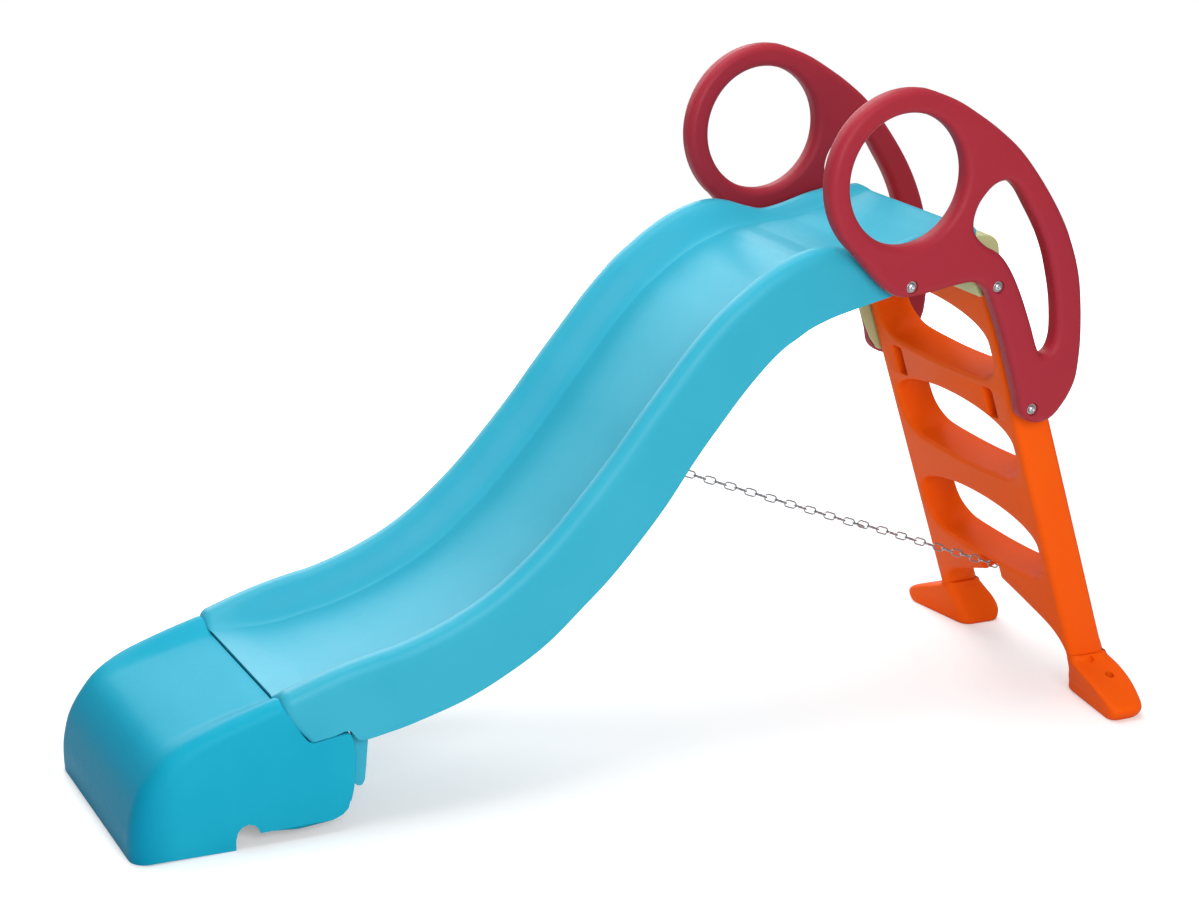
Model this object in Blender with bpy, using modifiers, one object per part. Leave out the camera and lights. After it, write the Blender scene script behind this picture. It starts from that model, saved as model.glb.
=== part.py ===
"""Folding kids slide: a moulded chute with an end module, hinged at the top to a ladder with handrails.

Lengths in this file are in millimetres and become metres when a mesh is made. X runs from the foot of the
chute to the ladder, Y across the slide and Z up, with the ground at Z = 0. One root empty carries everything
and moves the drawing along X, so that the middle of the slide's box is over the origin.
"""

import math

import bmesh
import bpy
from mathutils import Matrix, Vector

MM = 0.001
GAP = 0.3
FIT = 0.05
DRAWING_CENTRE_X = -9.0

WALL = 5.0
CHUTE_OUTER_Y = 236.0
PLATFORM_OUTER_Y = 214.0
FLOOR_EDGE_Y = 156.0
CREST_TOP_WIDTH = 8.0
SHOULDER_DROP = 26.0
RECESS_TOP = (316.0, 967.0)
RECESS_BOTTOM = (422.0, 877.0)
RECESS_ROUNDING = 26.0

MODULE_HALF_WIDTH = 236.0
MODULE_ROUNDING = 24.0
MODULE_REAR_Y = 212.5
MODULE_SCREW_Z = 112.0
MODULE_SCREW_RADIUS = 2.5
TAB_THICKNESS = 11.0

PIVOT = (427.0, 900.0)
PIVOT_BOSS_Y = 222.0
UPPER_BOLT = (616.0, 884.0)
LOWER_BOLT = (713.0, 638.0)
RAIL_INNER_Y = 245.0
RAIL_OUTER_Y = 287.0
RAIL_ROUNDING = 18.0
RING_CENTRE = (410.0, 1097.0)
RING_RADIUS = 165.0
RING_HOLE_RADIUS = 121.0
HEAD_POCKET_RADIUS = 12.0
HEAD_POCKET_DEPTH = 8.0
PIVOT_BOLT_RADIUS = 5.0
RAIL_BOLT_RADIUS = 4.0
WASHER_THICKNESS = 1.4
NUT_ACROSS_CORNERS = 19.2
NUT_HEIGHT = 8.4

LADDER_TOP_FRONT = (603.5, 900.0)
LADDER_LEAN = math.radians(19.3)
LADDER_THICKNESS = 79.0
LADDER_HALF_WIDTH = 239.0
LADDER_ROUNDING = 11.0
LADDER_TOP_Z = 905.0
LADDER_BOTTOM_Z = 92.5
WINDOW_HALF_WIDTH = 205.0
WINDOW_TOPS = (97.0, 322.0, 552.0)
WINDOW_HEIGHT = 160.0
SLOT_Y = 162.0
FOOT_SCREW = (935.0, 228.0)
FOOT_SCREW_RADIUS = 3.0
PEG_HOLE = (946.0, 290.0)
PEG_HOLE_RADIUS = 6.0

CHAIN_TOP = (-58.0, 572.0)
CHAIN_BOTTOM = (868.0, 212.0)
CHAIN_FRONT_LINKS = 26
CHAIN_REAR_LINKS = 15
CHAIN_SPREAD = 9.2
FLOOR_SLOPE = math.radians(50)
FLOOR_INWARD = (-math.sin(FLOOR_SLOPE), 0.0, math.cos(FLOOR_SLOPE))
LADDER_INWARD = (math.cos(LADDER_LEAN), 0.0, math.sin(LADDER_LEAN))
EYE_RADIUS = 7.0
EYE_WIRE = 1.8
EYE_SHANK_RADIUS = 2.8
END_LINK_OFFSET = 9.0
LINK_WIRE = 1.5
LINK_LENGTH = 30.0
LINK_WIDTH = 16.0


def clear_scene():
    """Removes every object that the file opens with."""
    for obj in list(bpy.data.objects):
        bpy.data.objects.remove(obj, do_unlink=True)


def new_collection(name):
    """A collection linked to the scene."""
    collection = bpy.data.collections.new(name)
    bpy.context.scene.collection.children.link(collection)
    return collection


def new_material(name, hex_colour, roughness, metallic=0.0):
    """A Principled material from an sRGB hex colour."""
    linear = []
    for start in (0, 2, 4):
        value = int(hex_colour[start : start + 2], 16) / 255.0
        linear.append(value / 12.92 if value <= 0.04045 else ((value + 0.055) / 1.055) ** 2.4)
    material = bpy.data.materials.new(name)
    material.use_nodes = True
    shader = material.node_tree.nodes["Principled BSDF"]
    shader.inputs["Base Color"].default_value = (*linear, 1.0)
    shader.inputs["Roughness"].default_value = roughness
    shader.inputs["Metallic"].default_value = metallic
    return material


def new_empty(name, x, z, parent=None):
    """An empty on the slide's middle plane."""
    empty = bpy.data.objects.new(name, None)
    empty.location = (x * MM, 0, z * MM)
    empty.parent = parent
    PARTS.objects.link(empty)
    return empty


clear_scene()
PARTS = new_collection("kids_slide")
CUTTERS = new_collection("cutters")
ROOT = new_empty("slide_origin", -DRAWING_CENTRE_X, 0)


def add_object(name, mesh, material=None):
    """Links a mesh as a part, or as a hidden cutter when it has no material."""
    obj = bpy.data.objects.new(name, mesh)
    obj.parent = ROOT
    if material is None:
        CUTTERS.objects.link(obj)
        obj.hide_render = True
        obj.display_type = "WIRE"
    else:
        PARTS.objects.link(obj)
        mesh.materials.append(material)
        mesh.shade_smooth()
        mesh.set_sharp_from_angle(angle=math.radians(35))
    return obj


def hang_on(empty, names):
    """Parents parts and their cutters to an empty on a joint's axis, leaving them where they are."""
    offset = empty.location.copy()
    if empty.parent != ROOT:
        offset += empty.parent.location
    for name in names:
        part = bpy.data.objects[name]
        tools = [modifier.object for modifier in part.modifiers if modifier.type == "BOOLEAN"]
        for obj in [part] + tools:
            obj.parent = empty
            obj.location -= offset


def smooth_path(points, steps, closed=False):
    """Points along a Catmull-Rom curve through the given points, of any number of coordinates."""
    given = [Vector(point) for point in points]
    count = len(given)
    path = []
    for i in range(count if closed else count - 1):
        before = given[i - 1] if closed or i > 0 else given[0]
        start = given[i]
        end = given[(i + 1) % count]
        after = given[(i + 2) % count] if closed or i + 2 < count else given[-1]
        for step in range(steps):
            t = step / steps
            linear = (end - before) * t
            square = (2 * before - 5 * start + 4 * end - after) * t * t
            cube = (3 * start - before - 3 * end + after) * t ** 3
            path.append((2 * start + linear + square + cube) * 0.5)
    if not closed:
        path.append(given[-1])
    return path


def arc(centre, radius, start, end, count):
    """Points on a circle from one angle to another, in degrees."""
    points = []
    for k in range(count + 1):
        angle = math.radians(start + (end - start) * k / count)
        points.append((centre[0] + radius * math.cos(angle), centre[1] + radius * math.sin(angle)))
    return points


def side_frame(y):
    """Places an outline drawn in X and Z on the upright plane at the given Y."""
    return Matrix.Translation((0, y * MM, 0)) @ Matrix.Rotation(math.pi / 2, 4, "X")


def on_ladder(y, down, depth):
    """A point given across the ladder, down its slope and in from its front face."""
    sine = math.sin(LADDER_LEAN)
    cosine = math.cos(LADDER_LEAN)
    x = LADDER_TOP_FRONT[0] + sine * down + cosine * depth
    z = LADDER_TOP_FRONT[1] - cosine * down + sine * depth
    return Vector((x, y, z))


def ladder_frame(depth):
    """Places an outline drawn in Y and up the slope, at a depth from the ladder's front face."""
    across = Vector((0, 1, 0))
    up = Vector((-math.sin(LADDER_LEAN), 0, math.cos(LADDER_LEAN)))
    back = across.cross(up)
    turn = Matrix((across, up, back)).transposed().to_4x4()
    return Matrix.Translation(on_ladder(0, 0, depth) * MM) @ turn


def slab(name, loops, frame, thickness, material=None, rounding=0.0):
    """A flat outline with its holes, of an even thickness about its frame's plane, with rounded edges."""
    data = bpy.data.curves.new(name, "CURVE")
    data.dimensions = "2D"
    data.fill_mode = "BOTH"
    data.extrude = (thickness / 2 - rounding) * MM
    data.bevel_depth = rounding * MM
    data.bevel_resolution = 1
    data.offset = -rounding * MM
    for loop in loops:
        spline = data.splines.new("POLY")
        spline.points.add(len(loop) - 1)
        for point, place in zip(spline.points, loop):
            point.co = (place[0] * MM, place[1] * MM, 0, 1)
        spline.use_cyclic_u = True
    curve = bpy.data.objects.new(name, data)
    CUTTERS.objects.link(curve)
    bpy.context.view_layer.update()
    evaluated = curve.evaluated_get(bpy.context.evaluated_depsgraph_get())
    mesh = bpy.data.meshes.new_from_object(evaluated)
    bpy.data.objects.remove(curve)
    shape = bmesh.new()
    shape.from_mesh(mesh)
    bmesh.ops.remove_doubles(shape, verts=shape.verts, dist=0.00002)
    bmesh.ops.transform(shape, matrix=frame, verts=shape.verts)
    bmesh.ops.recalc_face_normals(shape, faces=shape.faces)
    mesh.materials.clear()
    shape.to_mesh(mesh)
    shape.free()
    return add_object(name, mesh, material)


def box(name, low, high):
    """A rectangular cutter between two corners."""
    shape = bmesh.new()
    bmesh.ops.create_cube(shape, size=1.0)
    size = [(b - a) * MM for a, b in zip(low, high)]
    middle = [(a + b) / 2 * MM for a, b in zip(low, high)]
    bmesh.ops.scale(shape, vec=size, verts=shape.verts)
    bmesh.ops.translate(shape, vec=middle, verts=shape.verts)
    mesh = bpy.data.meshes.new(name)
    shape.to_mesh(mesh)
    shape.free()
    return add_object(name, mesh)


def turned(name, start, direction, profile, material=None, sides=20):
    """A solid of revolution from (distance along the axis, radius) pairs, which run up its outer side."""
    tube = profile[0] == profile[-1]
    points = profile[:-1] if tube else [(profile[0][0], 0)] + profile + [(profile[-1][0], 0)]
    places = [(radius * MM, 0, along * MM) for along, radius in reversed(points)]
    edges = [(k, k + 1) for k in range(len(places) - 1)]
    if tube:
        edges.append((len(places) - 1, 0))
    mesh = bpy.data.meshes.new(name)
    mesh.from_pydata(places, edges, [])
    obj = add_object(name, mesh, material)
    obj.location = Vector(start) * MM
    obj.rotation_euler = Vector((0, 0, 1)).rotation_difference(Vector(direction)).to_euler()
    screw = obj.modifiers.new("turn", "SCREW")
    screw.steps = sides
    screw.render_steps = sides
    screw.use_merge_vertices = True
    screw.merge_threshold = 0.00002
    return obj


def loft(name, rings, material=None):
    """A closed solid through a row of rings that have the same number of points."""
    shape = bmesh.new()
    rows = [[shape.verts.new(Vector(point) * MM) for point in ring] for ring in rings]
    for lower, upper in zip(rows, rows[1:]):
        for k in range(len(lower)):
            following = (k + 1) % len(lower)
            shape.faces.new((lower[k], lower[following], upper[following], upper[k]))
    shape.faces.new(rows[0][::-1])
    shape.faces.new(rows[-1])
    bmesh.ops.recalc_face_normals(shape, faces=shape.faces)
    mesh = bpy.data.meshes.new(name)
    shape.to_mesh(mesh)
    shape.free()
    return add_object(name, mesh, material)


def combine(obj, other, operation):
    """Adds a Boolean modifier that cuts or joins with another object."""
    modifier = obj.modifiers.new(other.name, "BOOLEAN")
    modifier.operation = operation
    modifier.object = other
    modifier.solver = "EXACT"


def cut_hole(obj, label, start, direction, length, radius, sides=20):
    """Cuts a round hole through an object; the flats of its faceted wall stay outside the radius."""
    corner = radius / math.cos(math.pi / sides)
    combine(obj, turned(label, start, direction, [(0, corner), (length, corner)], sides=sides), "DIFFERENCE")


CHUTE_BLUE = new_material("chute_blue", "43B2D0", 0.42)
MODULE_BLUE = new_material("module_blue", "2FA9C9", 0.42)
LADDER_ORANGE = new_material("ladder_orange", "F0642A", 0.45)
FOOT_ORANGE = new_material("foot_orange", "F26A28", 0.45)
RAIL_CRIMSON = new_material("rail_crimson", "AC3650", 0.42)
BRACKET_GREEN = new_material("bracket_green", "9DAB52", 0.5)
ZINC = new_material("zinc_steel", "B9BCC0", 0.3, 1.0)
CHAIN_STEEL = new_material("chain_steel", "A9ABAE", 0.32, 1.0)


# Each row: crest X and Z, floor depth below the crest, skirt bottom X and Z, crest Y.
CHUTE_ROWS = (
    (-760, 263, 22, -709.5, 181.5, 220),
    (-720, 277, 34, -678, 185, 220),
    (-680, 290, 48, -646, 191, 220),
    (-640, 301, 56, -624, 170, 220),
    (-590, 312, 58, -572, 176, 220),
    (-543, 321, 58, -520, 187, 220),
    (-473, 343, 58, -427, 214, 220),
    (-401, 375, 58, -345, 251, 220),
    (-341, 412, 58, -270, 296, 220),
    (-282, 460, 58, -195, 360, 220),
    (-228, 512, 58, -134, 417, 220),
    (-145, 605, 58, -48, 515, 220),
    (-83, 683, 58, 17, 605, 220),
    (-38, 738, 58, 62, 662, 220),
    (19, 806, 58, 114, 724, 220),
    (72, 860, 58, 161, 772, 220),
    (112, 892, 58, 193, 798, 220),
    (150, 919, 58, 217, 812, 220),
    (190, 942, 58, 243, 827, 220),
    (237, 960, 57, 270, 838, 220),
    (277, 967, 53, 291, 845, 220),
    (312, 963, 44, 314, 851, 217),
    (352, 951, 29, 352, 860, 208),
    (387, 944, 17, 387, 868, 204),
    (430, 951, 20, 430, 876, 203),
    (480, 965, 22, 478, 880, 203),
    (530, 975, 21, 526, 886, 203),
    (572, 981, 17, 562, 908, 203),
    (612, 986, 13, 604, 943, 203),
)


PLATFORM_ROW = 19


def outer_y(x, z):
    """Half width of the chute's side, which steps in behind the slanting end of the rolled rail."""
    run = (RECESS_BOTTOM[0] - RECESS_TOP[0]) / (RECESS_TOP[1] - RECESS_BOTTOM[1])
    past = x - (RECESS_TOP[0] + (RECESS_TOP[1] - z) * run)
    t = min(max(past / RECESS_ROUNDING + 0.5, 0.0), 1.0)
    return CHUTE_OUTER_Y - (CHUTE_OUTER_Y - PLATFORM_OUTER_Y) * t * t * (3 - 2 * t)


def chute_section(row, normal):
    """Half of the chute's section, from the middle of the floor over the rail to the skirt's lower edge."""
    crest = Vector((row[0], row[1]))
    depth = row[2]
    skirt = Vector((row[3], row[4])) - crest
    crest_y = row[5]
    inner_y = crest_y - CREST_TOP_WIDTH
    points = [(crest - normal * depth, 0.0)]
    for k in range(5):
        share = k / 4
        drop = depth * (1 + math.cos(math.pi * share)) / 2
        points.append((crest - normal * drop, FLOOR_EDGE_Y + (inner_y - FLOOR_EDGE_Y) * share))
    points.append((crest, crest_y))
    shoulder = min(SHOULDER_DROP / skirt.length, 0.3)
    for angle in (30, 60, 90):
        turn = math.radians(angle)
        place = crest + skirt * shoulder * (1 - math.cos(turn))
        edge = outer_y(place.x, place.y)
        points.append((place, crest_y + (edge - crest_y) * math.sin(turn)))
    for share in (0.6, 1.0):
        place = crest + skirt * (shoulder + (1 - shoulder) * share)
        points.append((place, outer_y(place.x, place.y)))
    return [(place.x, y, place.y) for place, y in points]


def chute_sheet():
    """Half of the chute as an open surface, one section after another along the crest line."""
    rows = list(CHUTE_ROWS[:PLATFORM_ROW]) + smooth_path(CHUTE_ROWS[PLATFORM_ROW:], 2)
    shape = bmesh.new()
    previous = None
    for i, row in enumerate(rows):
        behind = rows[max(i - 1, 0)]
        ahead = rows[min(i + 1, len(rows) - 1)]
        along = Vector((ahead[0] - behind[0], ahead[1] - behind[1])).normalized()
        normal = Vector((-along.y, along.x))
        upright = max(1 - i / 5, 0.0)
        normal = (normal * (1 - upright) + Vector((0, 1)) * upright).normalized()
        line = [shape.verts.new(Vector(point) * MM) for point in chute_section(row, normal)]
        if previous is not None:
            for k in range(len(line) - 1):
                shape.faces.new((previous[k], line[k], line[k + 1], previous[k + 1]))
        previous = line
    mesh = bpy.data.meshes.new("slide_chute")
    shape.to_mesh(mesh)
    shape.free()
    return mesh


def side_lug(name, sign):
    """A tab below the chute that reaches down behind the end module."""
    outline = [(-628.5, 78), (-622, 72), (-612, 72), (-609, 82), (-612, 303), (-628.5, 303)]
    return slab(name, [outline], side_frame(sign * MODULE_REAR_Y), TAB_THICKNESS)


def chain_boss(name):
    """A boss under the chute floor that takes the chain's eye screw."""
    start = Vector((CHAIN_TOP[0], 0, CHAIN_TOP[1])) + Vector(FLOOR_INWARD) * 12
    return turned(name, start, FLOOR_INWARD, [(0, 11), (16, 13)], sides=12)


def make_chute():
    """The chute: a moulded shell with rolled side rails and a platform at the top."""
    chute = add_object("slide_chute", chute_sheet(), CHUTE_BLUE)
    mirror = chute.modifiers.new("both sides", "MIRROR")
    mirror.use_axis = (False, True, False)
    mirror.merge_threshold = 0.0001
    shell = chute.modifiers.new("wall", "SOLIDIFY")
    shell.thickness = WALL * MM
    shell.offset = -1.0
    combine(chute, side_lug("lug_left", 1), "UNION")
    combine(chute, side_lug("lug_right", -1), "UNION")
    combine(chute, chain_boss("boss"), "UNION")
    for sign, side in ((1, "left"), (-1, "right")):
        boss_y = PLATFORM_OUTER_Y - WALL + 1
        boss = [(0, 13), (PIVOT_BOSS_Y - boss_y, 13)]
        start = (PIVOT[0], sign * boss_y, PIVOT[1])
        combine(chute, turned("pivot_boss_" + side, start, (0, sign, 0), boss, sides=16), "UNION")
        start = (PIVOT[0], sign * 190, PIVOT[1])
        cut_hole(chute, "pivot_bore_" + side, start, (0, sign, 0), 40, PIVOT_BOLT_RADIUS + FIT)
        start = (-640, sign * MODULE_REAR_Y, MODULE_SCREW_Z)
        cut_hole(chute, "lug_bore_" + side, start, (1, 0, 0), 40, MODULE_SCREW_RADIUS + GAP, 12)
    start = Vector((CHAIN_TOP[0], 0, CHAIN_TOP[1])) + Vector(FLOOR_INWARD) * 5
    cut_hole(chute, "eye_bore", start, FLOOR_INWARD, 18, EYE_SHANK_RADIUS + FIT, 12)
    return chute


MODULE_TOP = ((-762.5, 262), (-795, 253), (-854, 235), (-922, 210), (-970, 183), (-1001, 149),
              (-1023, 110), (-1034, 65), (-1036, 30), (-1034, 0))


def module_outline(inset):
    """The end module's side outline, pulled in by the inset, running below the ground to be cut off there."""
    nose = smooth_path(MODULE_TOP, 3)
    rear = [(-1034, -60), (-637, -60), (-634, 60), (-631.5, 124), (-633.5, 160), (-640, 181), (-650, 184.5),
            (-712, 176.5), (-739, 213), (-755, 240)]
    points = nose + [Vector(point) for point in rear]
    if inset == 0:
        return points
    moved = []
    for i, point in enumerate(points):
        before = points[i - 1]
        after = points[(i + 1) % len(points)]
        along = ((point - before).normalized() + (after - point).normalized()).normalized()
        moved.append(point + Vector((-along.y, along.x)) * inset)
    return moved


def channel_ring(x, floor_z, top_z):
    """A section of the channel that is sunk into the end module."""
    half = [(0, floor_z), (FLOOR_EDGE_Y, floor_z)]
    for share in (0.25, 0.5, 0.75, 1.0):
        rise = (top_z - floor_z + 1.5) * (1 - math.cos(math.pi * share)) / 2
        half.append((FLOOR_EDGE_Y + (212 - FLOOR_EDGE_Y) * share, floor_z + rise))
    half.append((212, top_z + 60))
    mirrored = [(-y, z) for y, z in reversed(half[1:])]
    return [(x, y, z) for y, z in half + mirrored]


def make_end_module():
    """The end module: an open-bottomed box with a rounded nose, which carries the channel to the ground."""
    width = 2 * MODULE_HALF_WIDTH
    module = slab("end_module", [module_outline(0)], side_frame(0), width, MODULE_BLUE, MODULE_ROUNDING)
    combine(module, box("below_ground", (-1100, -300, -100), (-560, 300, 0)), "DIFFERENCE")
    rings = []
    for x, floor_z, top_z in ((-740, 241, 268), (-762, 241, 264), (-795, 234.5, 253), (-854, 221, 236),
                              (-922, 202, 210), (-960, 188, 190), (-985, 178, 176)):
        rings.append(channel_ring(x, floor_z, top_z))
    combine(module, loft("channel", rings), "DIFFERENCE")
    combine(module, box("shelf", (-762.2, -223, 234.4), (-700, 223, 320)), "DIFFERENCE")
    hollow = []
    for x, z in module_outline(WALL):
        ceiling = 234 - WALL + (x + 762) * 0.24
        hollow.append((x, min(z, ceiling) if x < -700 else z))
    inner = slab("module_hollow", [hollow], side_frame(0), width - 2 * WALL, rounding=MODULE_ROUNDING - WALL)
    combine(module, inner, "DIFFERENCE")
    notch = [(-853, -20), (-853, 18)] + arc((-830.5, 22.5), 22.5, 180, 0, 6)
    notch += [(-808, 25), (-676, 25), (-657, 32), (-646, 45), (-600, 64), (-600, -20)]
    combine(module, slab("notch", [notch], side_frame(0), 600), "DIFFERENCE")
    for sign, side in ((1, "left"), (-1, "right")):
        start = (-650, sign * MODULE_REAR_Y, MODULE_SCREW_Z)
        cut_hole(module, "module_bore_" + side, start, (1, 0, 0), 30, MODULE_SCREW_RADIUS + FIT, 12)
    return module


def handrail_outline():
    """The handrail's outline: an arc round the ring, then a smooth edge down to the lower bolt and back."""
    ring = arc(RING_CENTRE, RING_RADIUS, 56, 231, 15)
    lower = smooth_path(((306, 969), (352, 921), (383, 893), (414, 880), (471, 884), (543, 895), (572, 893),
                         (597, 876), (615, 841), (640, 781), (666, 709), (682, 662), (689, 632), (706, 615),
                         (735, 607), (762, 614), (783, 634), (801, 660), (813, 690), (817, 732), (817, 773),
                         (812, 831), (802, 890), (782, 948), (752, 1007), (707, 1072), (654, 1134),
                         (602, 1177), (550, 1210), (506, 1232)), 1)
    return ring + [(point[0], point[1]) for point in lower[1:-1]]


def handrail_opening():
    """The long hand opening behind the ring."""
    return smooth_path(((625, 1081), (650, 1064), (675, 1028), (703, 984), (724, 940), (738, 897), (749, 853),
                        (755, 810), (756, 776), (748, 751), (731, 742), (718, 757), (698, 808), (672, 867),
                        (647, 912), (620, 944), (588, 962), (564, 984), (557, 1006), (561, 1030), (573, 1052),
                        (597, 1075)), 1, closed=True)


def make_handrail(side, sign):
    """One handrail: a moulded plate with a round ring and a long hand opening, rounded on its edges."""
    thickness = RAIL_OUTER_Y - RAIL_INNER_Y
    frame = side_frame(sign * (RAIL_INNER_Y + thickness / 2))
    loops = [handrail_outline(), arc(RING_CENTRE, RING_HOLE_RADIUS, 0, 345, 23), handrail_opening()]
    rail = slab("handrail_" + side, loops, frame, thickness, RAIL_CRIMSON, RAIL_ROUNDING)
    bolts = (("pivot", PIVOT, PIVOT_BOLT_RADIUS), ("upper", UPPER_BOLT, RAIL_BOLT_RADIUS),
             ("lower", LOWER_BOLT, RAIL_BOLT_RADIUS))
    for label, place, radius in bolts:
        start = (place[0], sign * (RAIL_INNER_Y - 10), place[1])
        cut_hole(rail, label + "_rail_bore_" + side, start, (0, sign, 0), 70, radius + FIT)
        start = (place[0], sign * (RAIL_OUTER_Y - HEAD_POCKET_DEPTH), place[1])
        cut_hole(rail, label + "_pocket_" + side, start, (0, sign, 0), 20, HEAD_POCKET_RADIUS)
    return rail


def window_outline(top):
    """A step opening: an arched top, upright ends and a nearly flat bottom with round corners."""
    half = WINDOW_HALF_WIDTH
    bottom = top + WINDOW_HEIGHT
    arch = []
    for degrees in range(0, 181, 15):
        turn = math.radians(degrees)
        arch.append((half * math.cos(turn), top + 60 * (1 - math.sin(turn))))
    left = [(-half, top + 92), (-half + 6, top + 118), (-half + 24, top + 138), (-half + 56, top + 151)]
    right = [(-y, down) for y, down in reversed(left)]
    return [(y, -down) for y, down in arch + left + [(-70, bottom - 2), (70, bottom - 2)] + right]


def make_ladder():
    """The ladder: one thick moulded panel with three step openings, a forked lower end and a chain pocket."""
    half = [(0, 752), (28, 755), (75, 771), (122, 789), (176, 812), (207, 838), (215, 870), (216, 960)]
    left = [(-y, down) for y, down in reversed(half[1:])]
    outline = half + [(LADDER_HALF_WIDTH, 960), (LADDER_HALF_WIDTH, -40)]
    outline += [(-LADDER_HALF_WIDTH, -40), (-LADDER_HALF_WIDTH, 960)] + left
    loops = [[(y, -down) for y, down in outline]] + [window_outline(top) for top in WINDOW_TOPS]
    middle = ladder_frame(LADDER_THICKNESS / 2)
    ladder = slab("ladder", loops, middle, LADDER_THICKNESS, LADDER_ORANGE, LADDER_ROUNDING)
    combine(ladder, box("above_ladder", (400, -300, LADDER_TOP_Z), (900, 300, 1100)), "DIFFERENCE")
    combine(ladder, box("below_ladder", (800, -300, -120), (1200, 300, LADDER_BOTTOM_Z)), "DIFFERENCE")
    taper = []
    for down, depth in ((-60, 62), (-60, 140), (200, 140), (180, LADDER_THICKNESS + 2)):
        place = on_ladder(0, down, depth)
        taper.append((place.x, place.z))
    combine(ladder, slab("rear_taper", [taper], side_frame(0), 600), "DIFFERENCE")
    for sign, side in ((1, "left"), (-1, "right")):
        y = sign * SLOT_Y
        pocket = [(y - 17, -332), (y + 17, -332), (y + 17, -264), (y - 17, -264)]
        combine(ladder, slab("slot_" + side, [pocket], ladder_frame(4), 56), "DIFFERENCE")
        for label, place in (("upper", UPPER_BOLT), ("lower", LOWER_BOLT)):
            start = (place[0], sign * 214, place[1])
            bore = RAIL_BOLT_RADIUS + FIT
            cut_hole(ladder, label + "_ladder_bore_" + side, start, (0, sign, 0), 40, bore)
        start = (FOOT_SCREW[0], sign * FOOT_SCREW[1], 60)
        cut_hole(ladder, "foot_bore_" + side, start, (0, 0, 1), 70, FOOT_SCREW_RADIUS + FIT, 12)
    chain_pocket = [(-37, -800), (37, -800), (37, -722), (30, -715), (-30, -715), (-37, -722)]
    combine(ladder, slab("chain_pocket", [chain_pocket], ladder_frame(20), 64), "DIFFERENCE")
    start = Vector((CHAIN_BOTTOM[0], 0, CHAIN_BOTTOM[1])) + Vector(LADDER_INWARD) * 20
    cut_hole(ladder, "hook_bore", start, LADDER_INWARD, 48, EYE_SHANK_RADIUS + FIT, 12)
    return ladder


# Each level: Z, inner Y, outer Y, then X of the inner front, outer front, outer rear and inner rear corners.
FOOT_LEVELS = (
    (0, 187, 366, 924, 899, 965, 1012),
    (6, 184, 372, 920, 895, 969, 1016),
    (20, 187, 378, 917, 893, 971, 1020),
    (34, 192, 364, 911, 892, 974, 1018),
    (52, 199, 322, 905, 890, 984, 1008),
    (68, 204, 278, 898, 888, 988, 994),
    (80, 207, 252, 892, 888, 982, 984),
    (92, 209, 244, 889, 889, 974, 974),
)


def make_foot(side, sign):
    """A shoe-shaped foot that spreads outwards under the ladder's leg, with a hole for a ground peg."""
    rings = []
    for z, inner, outer, x_inner_front, x_outer_front, x_outer_rear, x_inner_rear in FOOT_LEVELS:
        corners = [(x_inner_front, inner), (x_outer_front, outer)]
        corners += [(x_outer_rear, outer), (x_inner_rear, inner)]
        ring = []
        for i, corner in enumerate(corners):
            here = Vector(corner)
            before = (Vector(corners[i - 1]) - here).normalized()
            after = (Vector(corners[(i + 1) % 4]) - here).normalized()
            for point in (here + before * 9, here + (before + after) * 2.6, here + after * 9):
                ring.append((point.x, sign * point.y, z))
        rings.append(ring)
    foot = loft("foot_" + side, rings, FOOT_ORANGE)
    start = (PEG_HOLE[0], sign * PEG_HOLE[1], -10)
    cut_hole(foot, "peg_hole_" + side, start, (0, 0, 1), 110, PEG_HOLE_RADIUS, 16)
    start = (FOOT_SCREW[0], sign * FOOT_SCREW[1], -10)
    cut_hole(foot, "shank_bore_" + side, start, (0, 0, 1), 120, FOOT_SCREW_RADIUS + GAP, 12)
    cut_hole(foot, "sole_pocket_" + side, start, (0, 0, 1), 40, 8, 16)
    return foot


def make_foot_screw(side, sign):
    """The screw that holds a foot to its leg, from below."""
    start = (FOOT_SCREW[0], sign * FOOT_SCREW[1], 25.5)
    profile = [(0, 6.5), (4.2, 6.5), (4.2, FOOT_SCREW_RADIUS), (90, FOOT_SCREW_RADIUS), (97, 1.2)]
    return turned("foot_screw_" + side, start, (0, 0, 1), profile, ZINC, 12)


def make_top_bracket():
    """The top bracket: a saddle on the ladder that carries the platform, with a front lip and a side strip."""
    saddle = [(587, 905.3), (583, 930), (577, 957.5), (611, 963.5), (614, 968), (628, 961), (641, 951),
              (648, 938), (655, 905.3)]
    bracket = slab("top_bracket", [saddle], side_frame(0), 2 * 207.0, BRACKET_GREEN)
    lip = []
    for down, depth in ((38, -GAP), (36, -9), (28, -14), (-6, -15), (-30, -12), (-30, 8), (-5.72, -GAP)):
        place = on_ladder(0, down, depth)
        lip.append((place.x, place.z))
    lip_low = -213.0
    lip_high = RAIL_INNER_Y - GAP
    combine(bracket, slab("lip", [lip], side_frame((lip_low + lip_high) / 2), lip_high - lip_low), "UNION")
    strip = []
    front_edge = ((-6, -15), (140, -19), (215, -18), (262, -13), (290, -4), (298, 6), (292, 16), (-6, 16))
    for down, depth in front_edge:
        place = on_ladder(0, down, depth)
        strip.append((place.x, place.z))
    strip_low = LADDER_HALF_WIDTH + GAP
    strip_object = slab("side_strip", [strip], side_frame((strip_low + lip_high) / 2), lip_high - strip_low)
    combine(bracket, strip_object, "UNION")
    for label, place in (("upper", UPPER_BOLT), ("lower", LOWER_BOLT)):
        start = (place[0], 225, place[1])
        cut_hole(bracket, "strip_bore_" + label, start, (0, 1, 0), 40, RAIL_BOLT_RADIUS + GAP)
    return bracket


def ring_profile(inner, outer, height):
    """The closed profile of a flat ring."""
    return [(0, inner), (0, outer), (height, outer), (height, inner), (0, inner)]


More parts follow.
